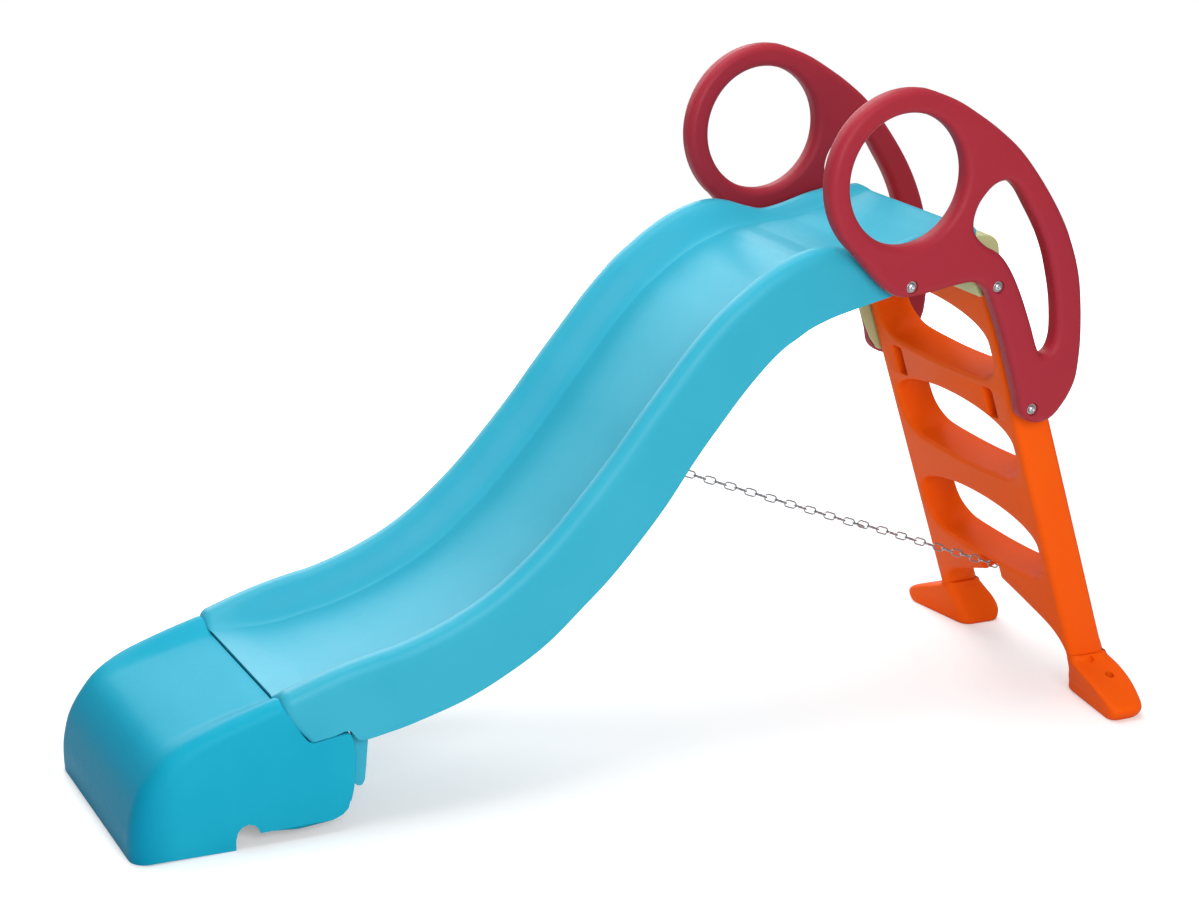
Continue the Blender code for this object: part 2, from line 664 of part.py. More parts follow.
def make_rail_bolt(label, place, side, sign):
    """A bolt through a handrail into the ladder's side, with its washer in the handrail's pocket."""
    floor_y = RAIL_OUTER_Y - HEAD_POCKET_DEPTH
    tip_y = 216.0
    head = floor_y + 2.0 - tip_y
    shank = RAIL_BOLT_RADIUS
    profile = [(0, 3.0), (3, shank), (head, shank), (head, 7.5), (head + 3.0, 7.5), (head + 4.6, 4.5)]
    turned(label + "_bolt_" + side, (place[0], sign * tip_y, place[1]), (0, sign, 0), profile, ZINC, 12)
    washer = ring_profile(RAIL_BOLT_RADIUS + GAP, 10.5, WASHER_THICKNESS)
    start = (place[0], sign * (floor_y + GAP), place[1])
    turned(label + "_washer_" + side, start, (0, sign, 0), washer, ZINC, 12)


def make_pivot(side, sign):
    """The hinge bolt between a handrail and the platform's side, with its spacer, washer and lock nut."""
    floor_y = RAIL_OUTER_Y - HEAD_POCKET_DEPTH
    wall_y = PLATFORM_OUTER_Y - WALL
    tip_y = wall_y - 14
    head = floor_y + 2.0 - tip_y
    shank = PIVOT_BOLT_RADIUS
    profile = [(0, 4.2), (1.5, shank), (head, shank), (head, 8.0), (head + 3.2, 8.0), (head + 5.0, 5.0)]
    spacer_y = PIVOT_BOSS_Y + GAP
    spacer = ring_profile(shank + GAP, 13.0, RAIL_INNER_Y - GAP - spacer_y)
    washer = ring_profile(shank + GAP, 11.0, WASHER_THICKNESS)
    nut = ring_profile(shank + 1.0, NUT_ACROSS_CORNERS / 2, NUT_HEIGHT)
    for label, y, outline, material, sides in (
        ("bolt", tip_y, profile, ZINC, 16),
        ("spacer", spacer_y, spacer, RAIL_CRIMSON, 16),
        ("washer", floor_y + GAP, washer, ZINC, 16),
        ("nut", wall_y - 9, nut, ZINC, 6),
    ):
        turned(f"pivot_{label}_{side}", (PIVOT[0], sign * y, PIVOT[1]), (0, sign, 0), outline, material, sides)


def make_module_screw(side, sign):
    """A screw through a chute tab into the end module's rear wall."""
    profile = [(0, 1.2), (4, MODULE_SCREW_RADIUS), (28, MODULE_SCREW_RADIUS), (28, 5.5), (31.5, 5.5)]
    start = (-637.0, sign * MODULE_REAR_Y, MODULE_SCREW_Z)
    return turned("module_screw_" + side, start, (1, 0, 0), profile, ZINC, 12)


def wire_ring(name, frame, centreline, radius, resolution, material=None):
    """A closed wire along a flat loop of points in its frame's first two directions."""
    data = bpy.data.curves.new(name, "CURVE")
    data.dimensions = "3D"
    data.bevel_depth = radius * MM
    data.bevel_resolution = resolution
    spline = data.splines.new("POLY")
    spline.points.add(len(centreline) - 1)
    for point, place in zip(spline.points, centreline):
        point.co = (place[0] * MM, place[1] * MM, 0, 1)
    spline.use_cyclic_u = True
    curve = bpy.data.objects.new(name, data)
    CUTTERS.objects.link(curve)
    bpy.context.view_layer.update()
    evaluated = curve.evaluated_get(bpy.context.evaluated_depsgraph_get())
    mesh = bpy.data.meshes.new_from_object(evaluated)
    bpy.data.objects.remove(curve)
    mesh.materials.clear()
    mesh.transform(frame)
    return add_object(name, mesh, material)


def along_frame(origin, along, side):
    """A frame whose X runs along one direction and whose Y lies towards another."""
    x_axis = Vector(along).normalized()
    z_axis = x_axis.cross(Vector(side)).normalized()
    y_axis = z_axis.cross(x_axis)
    turn = Matrix((x_axis, y_axis, z_axis)).transposed().to_4x4()
    return Matrix.Translation(Vector(origin) * MM) @ turn


def eye_screw(name, place, inward, grip):
    """A screw with a round eye, whose eye is centred on the place and whose shank runs inward."""
    centre = Vector((place[0], 0, place[1]))
    circle = arc((0, 0), EYE_RADIUS, 0, 330, 11)
    eye = wire_ring(name, along_frame(centre, inward, (0, 1, 0)), circle, EYE_WIRE, 1, ZINC)
    profile = [(0, 2.2), (2, EYE_SHANK_RADIUS), (grip, EYE_SHANK_RADIUS)]
    combine(eye, turned(name + "_shank", centre + Vector(inward) * 6.2, inward, profile, sides=12), "UNION")
    return eye


def link_outline():
    """The centre line of one chain link: two half circles joined by straight sides."""
    bend = (LINK_WIDTH / 2) - LINK_WIRE
    reach = LINK_LENGTH / 2 - LINK_WIRE - bend
    right = [(x + reach, y) for x, y in arc((0, 0), bend, -90, 90, 3)]
    left = [(x - reach, y) for x, y in arc((0, 0), bend, 90, 270, 3)]
    return right + left


def join_meshes(name, objects, material=None):
    """Joins separate meshes into one object without merging them."""
    shape = bmesh.new()
    for obj in objects:
        shape.from_mesh(obj.data)
    mesh = bpy.data.meshes.new(name)
    shape.to_mesh(mesh)
    shape.free()
    for obj in objects:
        bpy.data.objects.remove(obj, do_unlink=True)
    return add_object(name, mesh, material)


def make_chain(name, links, first, drift):
    """Half of the chain: links on the line between the eyes, drifting aside towards its loose end."""
    start = Vector((CHAIN_TOP[0], 0, CHAIN_TOP[1])) - Vector(FLOOR_INWARD) * EYE_RADIUS
    end = Vector((CHAIN_BOTTOM[0], 0, CHAIN_BOTTOM[1])) - Vector(LADDER_INWARD) * EYE_RADIUS
    along = (end - start).normalized()
    total = CHAIN_FRONT_LINKS + CHAIN_REAR_LINKS
    pitch = ((end - start).length - 2 * END_LINK_OFFSET) / (total - 1)
    groups = {0: [], 1: []}
    for k in range(first, first + links):
        share = (k + 0.5) / links if first == 0 else (total - k - 0.5) / links
        centre = start + along * (END_LINK_OFFSET + pitch * k) + Vector((0, drift * share, 0))
        side = along.cross(Vector((0, 1, 0))) if k % 2 == 0 else Vector((0, 1, 0))
        frame = along_frame(centre, along, side)
        groups[k % 2].append(wire_ring("link", frame, link_outline(), LINK_WIRE, 0))
    chain = join_meshes(name, groups[0], CHAIN_STEEL)
    combine(chain, join_meshes(name + "_flat_links", groups[1]), "UNION")
    return chain


def build():
    """Makes every part of the slide."""
    make_chute()
    make_end_module()
    make_ladder()
    make_top_bracket()
    for sign, side in ((1, "left"), (-1, "right")):
        make_handrail(side, sign)
        make_pivot(side, sign)
        make_rail_bolt("upper", UPPER_BOLT, side, sign)
        make_rail_bolt("lower", LOWER_BOLT, side, sign)
        make_foot(side, sign)
        make_foot_screw(side, sign)
        make_module_screw(side, sign)
    eye_screw("chain_eye", CHAIN_TOP, FLOOR_INWARD, 14)
    eye_screw("chain_hook", CHAIN_BOTTOM, LADDER_INWARD, 44)
    make_chain("chain_front", CHAIN_FRONT_LINKS, 0, -CHAIN_SPREAD)
    make_chain("chain_rear", CHAIN_REAR_LINKS, CHAIN_FRONT_LINKS, CHAIN_SPREAD)


def hang_moving_parts():
    """Parents the ladder with its handrails and feet, and both halves of the chain, to their joints' axes."""
    moving = ["ladder", "top_bracket", "chain_hook"]
    for side in ("left", "right"):
        moving += [name + side for name in ("handrail_", "upper_bolt_", "upper_washer_", "lower_bolt_",
                                            "lower_washer_", "foot_", "foot_screw_")]
    hinge = new_empty("ladder_hinge", PIVOT[0], PIVOT[1], ROOT)
    hang_on(hinge, moving)
    x = CHAIN_TOP[0] - FLOOR_INWARD[0] * EYE_RADIUS
    z = CHAIN_TOP[1] - FLOOR_INWARD[2] * EYE_RADIUS
    hang_on(new_empty("chain_front_axis", x, z, ROOT), ["chain_front"])
    x = CHAIN_BOTTOM[0] - LADDER_INWARD[0] * EYE_RADIUS - PIVOT[0]
    z = CHAIN_BOTTOM[1] - LADDER_INWARD[2] * EYE_RADIUS - PIVOT[1]
    hang_on(new_empty("chain_rear_axis", x, z, hinge), ["chain_rear"])


build()
hang_moving_parts()
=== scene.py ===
"""The looks of a folding kids slide, dressed over its CAD frame.

Lengths below are millimetres in the drawing's own X, Y and Z, as the slide was drawn. DRAWING_SHIFT_X
moves them along X into the frame, and MM turns them into metres when a mesh is made. The camera is placed
in the frame's millimetres, and the lamps and the floor in its metres.
"""

import math

import bmesh
import bpy
import numpy as np
from mathutils import Matrix, Vector
from mathutils.geometry import tessellate_polygon


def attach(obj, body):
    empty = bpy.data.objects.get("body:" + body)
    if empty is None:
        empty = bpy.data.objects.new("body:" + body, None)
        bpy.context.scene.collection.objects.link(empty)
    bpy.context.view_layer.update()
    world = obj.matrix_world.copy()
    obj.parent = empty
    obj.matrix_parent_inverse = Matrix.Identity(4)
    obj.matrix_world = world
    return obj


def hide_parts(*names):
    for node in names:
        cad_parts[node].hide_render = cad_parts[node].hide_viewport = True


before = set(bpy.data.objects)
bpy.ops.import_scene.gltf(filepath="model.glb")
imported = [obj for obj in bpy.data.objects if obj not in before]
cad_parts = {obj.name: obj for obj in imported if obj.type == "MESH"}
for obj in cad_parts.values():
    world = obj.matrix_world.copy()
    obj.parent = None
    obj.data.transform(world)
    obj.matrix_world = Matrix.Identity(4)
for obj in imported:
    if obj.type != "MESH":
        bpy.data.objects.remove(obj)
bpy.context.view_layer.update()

MM = 0.001
DRAWING_SHIFT_X = 9.0
MERGE_DISTANCE = 0.01
TURNED_SIDES = 36
OFF_AXIS = (0.3, 0.5, 0.81)
CLEARANCE = 0.3
OVERRUN = 10.0

PIVOT = np.array((427.0, 900.0))
UPPER_BOLT = np.array((616.0, 884.0))
LOWER_BOLT = np.array((713.0, 638.0))
RAIL_INNER_Y = 245.0
RAIL_OUTER_Y = 287.0
RAIL_ROUNDING = 15.0
RING_CENTRE = (410.0, 1097.0)
RING_RADIUS = 165.0
RING_HOLE_RADIUS = 121.0
POCKET_RADIUS = 12.4
POCKET_DEPTH = 6.0
POCKET_CORNER = 0.8
BOLT_BORE_RADIUS = 4.8

LADDER_TOP_FRONT = np.array((603.5, 900.0))
LADDER_LEAN = math.radians(19.3)
LADDER_THICKNESS = 79.0
LADDER_HALF_WIDTH = 239.0
LADDER_TOP_Z = 905.0
LADDER_BOTTOM_Z = 92.5
LADDER_ROUNDING = 15.0
WINDOW_TOPS = (97.0, 322.0, 552.0)
WINDOW_HALF_WIDTH = 205.0
WINDOW_ARCH = 60.0
WINDOW_ROUNDING = 9.0
SLOT_ACROSS = 162.0
SLOT_UP = -298.0
SLOT_DEPTH = 27.0
SLOT_LIP = 1.2
CHAIN_POCKET_UP = -753.5

CHUTE_OUTER_Y = 236.0
PLATFORM_OUTER_Y = 214.0
FLOOR_EDGE_Y = 156.0
CREST_TOP_WIDTH = 8.0
SHOULDER_DROP = 26.0
RECESS_TOP = (316.0, 967.0)
RECESS_BOTTOM = (422.0, 877.0)
RECESS_ROUNDING = 14.0
WALL = 5.0

MODULE_HALF_WIDTH = 236.0

CHAIN_TOP = np.array((-58.0, 0.0, 572.0))
CHAIN_BOTTOM = np.array((868.0, 0.0, 212.0))
CHAIN_LINKS = 41
CHAIN_FRONT_LINKS = 26
CHAIN_SPREAD = 9.2
LINK_LENGTH = 30.0
LINK_WIDTH = 16.0
LINK_WIRE_RADIUS = 1.5
END_LINK_OFFSET = 9.0
FLOOR_SLOPE = math.radians(50)
FLOOR_INWARD = np.array((-math.sin(FLOOR_SLOPE), 0.0, math.cos(FLOOR_SLOPE)))
LADDER_INWARD = np.array((math.cos(LADDER_LEAN), 0.0, math.sin(LADDER_LEAN)))
ACROSS = np.array((0.0, 1.0, 0.0))
EYE_RADIUS = 7.0
EYE_WIRE_RADIUS = 1.8
EYE_SHANK_RADIUS = 2.8

SIDES = (("left", 1), ("right", -1))


# Meshes

def to_frame(points):
    """Drawing millimetres to metres in the frame."""
    return (np.asarray(points, dtype=float) + (DRAWING_SHIFT_X, 0, 0)) * MM


def make_mesh(name, vertices, faces, body, material):
    """A smooth-shaded object from drawing points and faces, which rides on a body."""
    mesh = bpy.data.meshes.new(name)
    mesh.from_pydata(to_frame(vertices).tolist(), [], faces)
    mesh.materials.append(material)
    mesh.shade_smooth()
    obj = bpy.data.objects.new(name, mesh)
    bpy.context.scene.collection.objects.link(obj)
    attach(obj, body)
    return obj


def grid_faces(rows, columns, wrap_rows=False, wrap_columns=False, first=0):
    """Quads over a grid of points that is stored row by row."""
    row = np.arange(rows if wrap_rows else rows - 1)
    column = np.arange(columns if wrap_columns else columns - 1)
    r, c = np.meshgrid(row, column, indexing="ij")
    after_r = (r + 1) % rows
    after_c = (c + 1) % columns
    corners = ((r, c), (r, after_c), (after_r, after_c), (after_r, c))
    quads = np.stack([a * columns + b for a, b in corners], -1)
    return (quads.reshape(-1, 4) + first).tolist()


def fix_normals(obj, merge=0.0):
    """Points every face outwards, after points closer than the merge distance are joined."""
    shape = bmesh.new()
    shape.from_mesh(obj.data)
    if merge:
        bmesh.ops.remove_doubles(shape, verts=shape.verts, dist=merge * MM)
    bmesh.ops.recalc_face_normals(shape, faces=shape.faces)
    shape.to_mesh(obj.data)
    shape.free()


def sharpen(obj, degrees):
    """Keeps edges hard where faces meet at more than the angle."""
    obj.data.set_sharp_from_angle(angle=math.radians(degrees))


def smooth_path(points, steps, closed=False):
    """Catmull-Rom curve: each span is the cubic through its two ends, and the slope at a point is half the
    chord between its neighbours."""
    given = np.asarray(points, dtype=float)
    if closed:
        before, start = np.roll(given, 1, 0), given
        end, after = np.roll(given, -1, 0), np.roll(given, -2, 0)
    else:
        padded = np.vstack((given[:1], given, given[-1:]))
        before, start, end, after = padded[:-3], padded[1:-2], padded[2:-1], padded[3:]
    t = (np.arange(steps) / steps)[None, :, None]
    before, start, end, after = (v[:, None, :] for v in (before, start, end, after))
    path = 0.5 * (2 * start + (end - before) * t + (2 * before - 5 * start + 4 * end - after) * t ** 2
                  + (3 * start - before - 3 * end + after) * t ** 3)
    path = path.reshape(-1, given.shape[1])
    return path if closed else np.vstack((path, given[-1:]))


def even_loop(path, spacing):
    """The same closed path with points an even distance apart along it."""
    path = np.asarray(path, dtype=float)
    path = np.vstack((path, path[:1]))
    run = np.concatenate(([0.0], np.cumsum(np.linalg.norm(np.diff(path, axis=0), axis=1))))
    count = max(int(round(run[-1] / spacing)), 3)
    at = np.linspace(0, run[-1], count + 1)[:-1]
    return np.stack([np.interp(at, run, path[:, k]) for k in range(path.shape[1])], -1)


def arc(centre, radius, start, end, count):
    """Points on a circle between two angles in degrees."""
    turn = np.radians(np.linspace(start, end, count + 1))
    return np.stack((centre[0] + radius * np.cos(turn), centre[1] + radius * np.sin(turn)), -1)


def rounded_rectangle(centre, half_width, half_height, radius, steps):
    """A loop of four quarter circles, whose centres lie the half width and half height from the middle."""
    corners = []
    for a, b, start in ((1, -1, 270), (1, 1, 0), (-1, 1, 90), (-1, -1, 180)):
        place = (centre[0] + a * half_width, centre[1] + b * half_height)
        corners.append(arc(place, radius, start, start + 90, steps))
    return np.vstack(corners)


def outward_normals(loop):
    """Unit normals of a closed loop, on its right-hand side: outside for a counter-clockwise loop."""
    along = np.roll(loop, -1, 0) - np.roll(loop, 1, 0)
    along /= np.linalg.norm(along, axis=1, keepdims=True)
    return np.stack((along[:, 1], -along[:, 0]), -1)


def signed_area(loop):
    """Positive for a counter-clockwise loop."""
    x, y = loop[:, 0], loop[:, 1]
    return 0.5 * float(np.sum(x * np.roll(y, -1) - np.roll(x, -1) * y))


def rounded_plate(outline, holes, thickness, rounding, pockets=(), pocket_depth=0.0, steps=7,
                  hole_rounding=None):
    """A flat plate with quarter-round edges, as points (a, b, depth) and faces.

    Every loop carries an edge profile: at angle t, from 0 at a flat face to a right angle at the wall, the
    edge lies rounding * (1 - sin t) inside the outline and rounding * (1 - cos t) below that face. The two
    flat faces fill what is left between the loops. A pocket is a loop in the face at depth 0 with a wall
    and a floor, and SLOT_LIP cuts off both edges of its wall.
    """
    quarter = np.linspace(0, math.pi / 2, steps + 1)
    walls = []
    for k, loop in enumerate([outline, *holes]):
        radius = hole_rounding if k and hole_rounding else rounding
        inset = radius * (1 - np.sin(quarter))
        depth = radius * (1 - np.cos(quarter))
        inset = np.concatenate((inset, inset[::-1]))
        wanted = -1 if k else 1
        loop = loop if signed_area(loop) * wanted > 0 else loop[::-1]
        rings = loop[None] - outward_normals(loop)[None] * inset[:, None, None]
        walls.append((rings, np.concatenate((depth, thickness - depth[::-1])), False))
    lip = SLOT_LIP
    levels = np.array(((lip, 0), (lip * 0.3, lip * 0.3), (0, lip), (0, pocket_depth - lip),
                       (-lip, pocket_depth)))
    for loop in pockets:
        loop = loop if signed_area(loop) < 0 else loop[::-1]
        walls.append((loop[None] - outward_normals(loop)[None] * levels[:, :1, None], levels[:, 1], True))
    vertices, faces, front, back, total = [], [], [], [], 0
    for rings, depths, is_pocket in walls:
        rows, columns = rings.shape[:2]
        depths = np.broadcast_to(depths[:, None, None], (rows, columns, 1))
        vertices.append(np.concatenate((rings, depths), -1).reshape(-1, 3))
        faces += grid_faces(rows, columns, wrap_columns=True, first=total)
        front.append((rings[0], total))
        last = total + (rows - 1) * columns
        if is_pocket:
            faces.append(list(range(last, last + columns)))
        else:
            back.append((rings[-1], last))
        total += rows * columns
    for side, reverse in ((front, False), (back, True)):
        loops = [[Vector((a, b, 0)) for a, b in ring] for ring, _ in side]
        index = np.concatenate([np.arange(len(ring)) + start for ring, start in side])
        for triangle in tessellate_polygon(loops):
            corners = [int(index[corner]) for corner in triangle]
            faces.append(corners[::-1] if reverse else corners)
    return np.vstack(vertices), faces


def tube_along(path, radius, sides):
    """A closed round wire: a circle of the given radius, square to the path, carried along it."""
    path = np.asarray(path, dtype=float)
    along = np.roll(path, -1, 0) - np.roll(path, 1, 0)
    along /= np.linalg.norm(along, axis=1, keepdims=True)
    flat = np.linalg.svd(path - path.mean(0))[2][2]
    side = np.cross(along, flat)
    side /= np.linalg.norm(side, axis=1, keepdims=True)
    turn = np.linspace(0, 2 * math.pi, sides, endpoint=False)[None, :, None]
    ring = np.cos(turn) * side[:, None, :] + np.sin(turn) * flat[None, None, :]
    points = path[:, None, :] + radius * ring
    faces = grid_faces(len(path), sides, wrap_rows=True, wrap_columns=True)
    return points.reshape(-1, 3), faces


def lathe(start, direction, profile, sides=TURNED_SIDES):
    """A turned shape: (distance along the axis, radius) pairs swept in a circle, closed at both ends."""
    axis = np.asarray(direction, dtype=float)
    axis /= np.linalg.norm(axis)
    first = np.cross(axis, OFF_AXIS)
    first /= np.linalg.norm(first)
    second = np.cross(axis, first)
    profile = np.asarray(profile, dtype=float)
    turn = np.linspace(0, 2 * math.pi, sides, endpoint=False)
    ring = np.cos(turn)[:, None] * first + np.sin(turn)[:, None] * second
    points = (np.asarray(start, dtype=float) + profile[:, 0][:, None, None] * axis
              + profile[:, 1][:, None, None] * ring[None])
    faces = grid_faces(len(profile), sides, wrap_columns=True)
    last = (len(profile) - 1) * sides
    faces.append(list(range(sides))[::-1])
    faces.append(list(range(last, last + sides)))
    return points.reshape(-1, 3), faces


def join_shapes(shapes):
    """Several (points, faces) pairs as one."""
    vertices, faces, total = [], [], 0
    for points, quads in shapes:
        vertices.append(points)
        faces += [[corner + total for corner in face] for face in quads]
        total += len(points)
    return np.vstack(vertices), faces


# Materials

# Sizes of the patterns in the polyethylene and in the zinc, in millimetres.
DRIFT_SIZE = 180.0
WAVE_SIZE = 45.0
SCUFF_SIZE = 12.0
GRAIN_SIZE = 1.6
CLOUD_SIZE = 6.0
SCRATCH_SIZE = 0.8
# Painted shade darkens the end module's nose between these X of the frame, in metres.
PAINTED_NOSE_SHADE_START = -0.93
PAINTED_NOSE_SHADE_END = -1.04


def linear_colour(hex_colour):
    """An sRGB hex colour as linear red, green, blue and alpha."""
    value = np.array([int(hex_colour[k:k + 2], 16) for k in (0, 2, 4)]) / 255
    linear = np.where(value <= 0.04045, value / 12.92, ((value + 0.055) / 1.055) ** 2.4)
    return (*linear.tolist(), 1.0)


def add_node(tree, kind, settings=None, values=None, links=None):
    """Adds a node with its settings, its input values and its incoming links."""
    node = tree.nodes.new(kind)
    for key, value in (settings or {}).items():
        setattr(node, key, value)
    for key, value in (values or {}).items():
        node.inputs[key].default_value = value
    for key, socket in (links or {}).items():
        tree.links.new(socket, node.inputs[key])
    return node


def new_material(name):
    """A material with its node tree and Principled shader."""
    material = bpy.data.materials.new(name)
    material.use_nodes = True
    return material, material.node_tree, material.node_tree.nodes["Principled BSDF"]


def moulded_polyethylene(name, colour, deep, roughness, gloss_level=0.15, nose=None):
    """Blow-moulded polyethylene: satin, a little waxy, with a fine pebble grain from the mould.

    The pebbles are 1.6 mm apart, a little coarser than the real ones so that they show, on a skin that
    waves slightly every 45 mm. The colour drifts slightly over about 180 mm where the wall cooled unevenly,
    and faint scuffs 12 mm long lie in the gloss. With nose given, painted shade darkens the colour to that
    one from X -0.93 to -1.04 m, round the end module's nose.
    """
    material, tree, shader = new_material(name)
    place = add_node(tree, "ShaderNodeTexCoord").outputs["Object"]
    drift = add_node(tree, "ShaderNodeTexNoise", links={"Vector": place},
                     values={"Scale": 1 / (DRIFT_SIZE * MM), "Detail": 3.0, "Roughness": 0.55})
    blend = add_node(tree, "ShaderNodeMapRange", links={"Value": drift.outputs["Fac"]},
                     values={"From Min": 0.3, "From Max": 0.7, "To Min": 0.0, "To Max": 0.35})
    mix = add_node(tree, "ShaderNodeMix", {"data_type": "RGBA"},
                   {"A": linear_colour(colour), "B": linear_colour(deep)},
                   {"Factor": blend.outputs["Result"]})
    result = mix.outputs["Result"]
    # Painted shade: towards the nose the colour is blended into the darker nose colour.
    if nose:
        along = add_node(tree, "ShaderNodeSeparateXYZ", links={"Vector": place})
        depth = add_node(tree, "ShaderNodeMapRange", {"interpolation_type": "SMOOTHSTEP"},
                         {"From Min": PAINTED_NOSE_SHADE_START, "From Max": PAINTED_NOSE_SHADE_END},
                         {"Value": along.outputs["X"]})
        turned = add_node(tree, "ShaderNodeMix", {"data_type": "RGBA"}, {"B": linear_colour(nose)},
                          {"Factor": depth.outputs["Result"], "A": result})
        result = turned.outputs["Result"]
    tree.links.new(result, shader.inputs["Base Color"])
    scuff = add_node(tree, "ShaderNodeTexNoise", links={"Vector": place},
                     values={"Scale": 1 / (SCUFF_SIZE * MM), "Detail": 4.0, "Roughness": 0.65})
    gloss = add_node(tree, "ShaderNodeMapRange", links={"Value": scuff.outputs["Fac"]},
                     values={"From Min": 0.25, "From Max": 0.75, "To Min": roughness - 0.05,
                             "To Max": roughness + 0.06})
    tree.links.new(gloss.outputs["Result"], shader.inputs["Roughness"])
    pebble = add_node(tree, "ShaderNodeTexNoise", links={"Vector": place},
                      values={"Scale": 1 / (GRAIN_SIZE * MM), "Detail": 2.0})
    ripple = add_node(tree, "ShaderNodeTexNoise", links={"Vector": place},
                      values={"Scale": 1 / (WAVE_SIZE * MM), "Detail": 1.0})
    grain = add_node(tree, "ShaderNodeBump", values={"Strength": 0.12, "Distance": 0.2 * MM},
                     links={"Height": pebble.outputs["Fac"]})
    wave = add_node(tree, "ShaderNodeBump", values={"Strength": 0.10, "Distance": 1.0 * MM},
                    links={"Height": ripple.outputs["Fac"], "Normal": grain.outputs["Normal"]})
    tree.links.new(wave.outputs["Normal"], shader.inputs["Normal"])
    shader.inputs["IOR"].default_value = 1.51
    shader.inputs["Specular IOR Level"].default_value = gloss_level
    return material


def plated_steel(name, colour, roughness):
    """Zinc-plated steel: bright and slightly cloudy over 6 mm, with fine scratches 0.8 mm apart."""
    material, tree, shader = new_material(name)
    place = add_node(tree, "ShaderNodeTexCoord").outputs["Object"]
    cloud = add_node(tree, "ShaderNodeTexNoise", links={"Vector": place},
                     values={"Scale": 1 / (CLOUD_SIZE * MM), "Detail": 3.0})
    mix = add_node(tree, "ShaderNodeMix", {"data_type": "RGBA"},
                   {"A": linear_colour(colour), "B": linear_colour("8E9298")},
                   {"Factor": cloud.outputs["Fac"]})
    tree.links.new(mix.outputs["Result"], shader.inputs["Base Color"])
    gloss = add_node(tree, "ShaderNodeMapRange", links={"Value": cloud.outputs["Fac"]},
                     values={"To Min": roughness - 0.06, "To Max": roughness + 0.1})
    tree.links.new(gloss.outputs["Result"], shader.inputs["Roughness"])
    scratch = add_node(tree, "ShaderNodeTexNoise", links={"Vector": place},
                       values={"Scale": 1 / (SCRATCH_SIZE * MM), "Detail": 2.0})
    bump = add_node(tree, "ShaderNodeBump", values={"Strength": 0.15, "Distance": 0.1 * MM},
                    links={"Height": scratch.outputs["Fac"]})
    tree.links.new(bump.outputs["Normal"], shader.inputs["Normal"])
    shader.inputs["Metallic"].default_value = 1.0
    return material


CHUTE_BLUE = moulded_polyethylene("chute_polyethylene", "37A8C1", "229DB9", 0.40)
# The nose colour 0082A4 is painted shade, blended in towards the end module's nose.
MODULE_BLUE = moulded_polyethylene("module_polyethylene", "1CA3BF", "0A94B3", 0.42, 0.05, nose="0082A4")
LADDER_ORANGE = moulded_polyethylene("ladder_polyethylene", "F05A08", "EA5006", 0.44, 0.06)
FOOT_ORANGE = moulded_polyethylene("foot_polyethylene", "F05A08", "E85006", 0.44, 0.06)
RAIL_CRIMSON = moulded_polyethylene("handrail_polyethylene", "A02A36", "94243A", 0.46)
BRACKET_GREEN = moulded_polyethylene("bracket_polyethylene", "BCC08E", "ACB27A", 0.45)
BOLT_ZINC = plated_steel("bolt_zinc_plated_steel", "EEF0F2", 0.34)
CHAIN_ZINC = plated_steel("chain_zinc_plated_steel", "C6C9CC", 0.32)


# The chute

# Each row: crest X and Z, floor depth below the crest, skirt bottom X and Z, crest Y.
CHUTE_ROWS = (
    (-760, 263, 22, -709.5, 181.5, 220),
    (-720, 277, 34, -678, 185, 220),
    (-680, 290, 48, -646, 191, 220),
    (-640, 301, 56, -624, 170, 220),
    (-590, 312, 58, -572, 176, 220),
    (-543, 321, 58, -520, 187, 220),
    (-473, 343, 58, -427, 214, 220),
    (-401, 375, 58, -345, 251, 220),
    (-341, 412, 58, -270, 296, 220),
    (-282, 460, 58, -195, 360, 220),
    (-228, 512, 58, -134, 417, 220),
    (-145, 605, 58, -48, 515, 220),
    (-83, 683, 58, 17, 605, 220),
    (-38, 738, 58, 62, 662, 220),
    (19, 806, 58, 114, 724, 220),
    (72, 860, 58, 161, 772, 220),
    (112, 892, 58, 193, 798, 220),
    (150, 919, 58, 217, 812, 220),
    (190, 942, 58, 243, 827, 220),
    (237, 960, 57, 270, 838, 220),
    (277, 967, 53, 291, 845, 220),
    (312, 963, 44, 314, 851, 217),
    (352, 951, 29, 352, 860, 208),
    (387, 944, 17, 387, 868, 204),
    (430, 951, 20, 430, 876, 203),
    (480, 965, 22, 478, 880, 203),
    (530, 975, 21, 526, 886, 203),
    (572, 977, 13, 562, 908, 203),
    (600, 979, 8, 592, 940, 203),
    (612, 975, 4, 606, 950, 203),
)
ROW_STEPS = 8
END_ROWS = 3
END_FINE_ROWS = 8
UPRIGHT_ROWS = 5
BULGE_ROWS = 3
FLOOR_COLUMNS = 8
WALL_COLUMNS = 19
SHOULDER_COLUMNS = 10
SKIRT_COLUMNS = 10
SHOULDER_LIMIT = 0.3
END_BULGE = 8.0
END_ROLL = 11.0
ROLL_SHARE = 0.7
REAR_CORNER_DEPTH = 9.0
REAR_CORNER_X = 588.0
REAR_CORNER_RUN = 24.0
REAR_CORNER_Y = 160.0
REAR_CORNER_WIDTH = 60.0
PIVOT_BOSS_Y = 206.0
PIVOT_BOSS = ((0, 13), (15, 13), (16, 12))
CHAIN_BOSS_LIFT = 12.0
CHAIN_BOSS = ((0, 9.5), (1.2, 11), (16, 13))
TAB_OUTLINE = ((-628.5, 80), (-623, 73), (-613, 73), (-608, 84), (-600, 190), (-594, 300), (-644, 300),
               (-642, 188), (-636, 181), (-631, 167), (-628.5, 150))
TAB_INNER_Y = 207.0
TAB_THICKNESS = 11.0


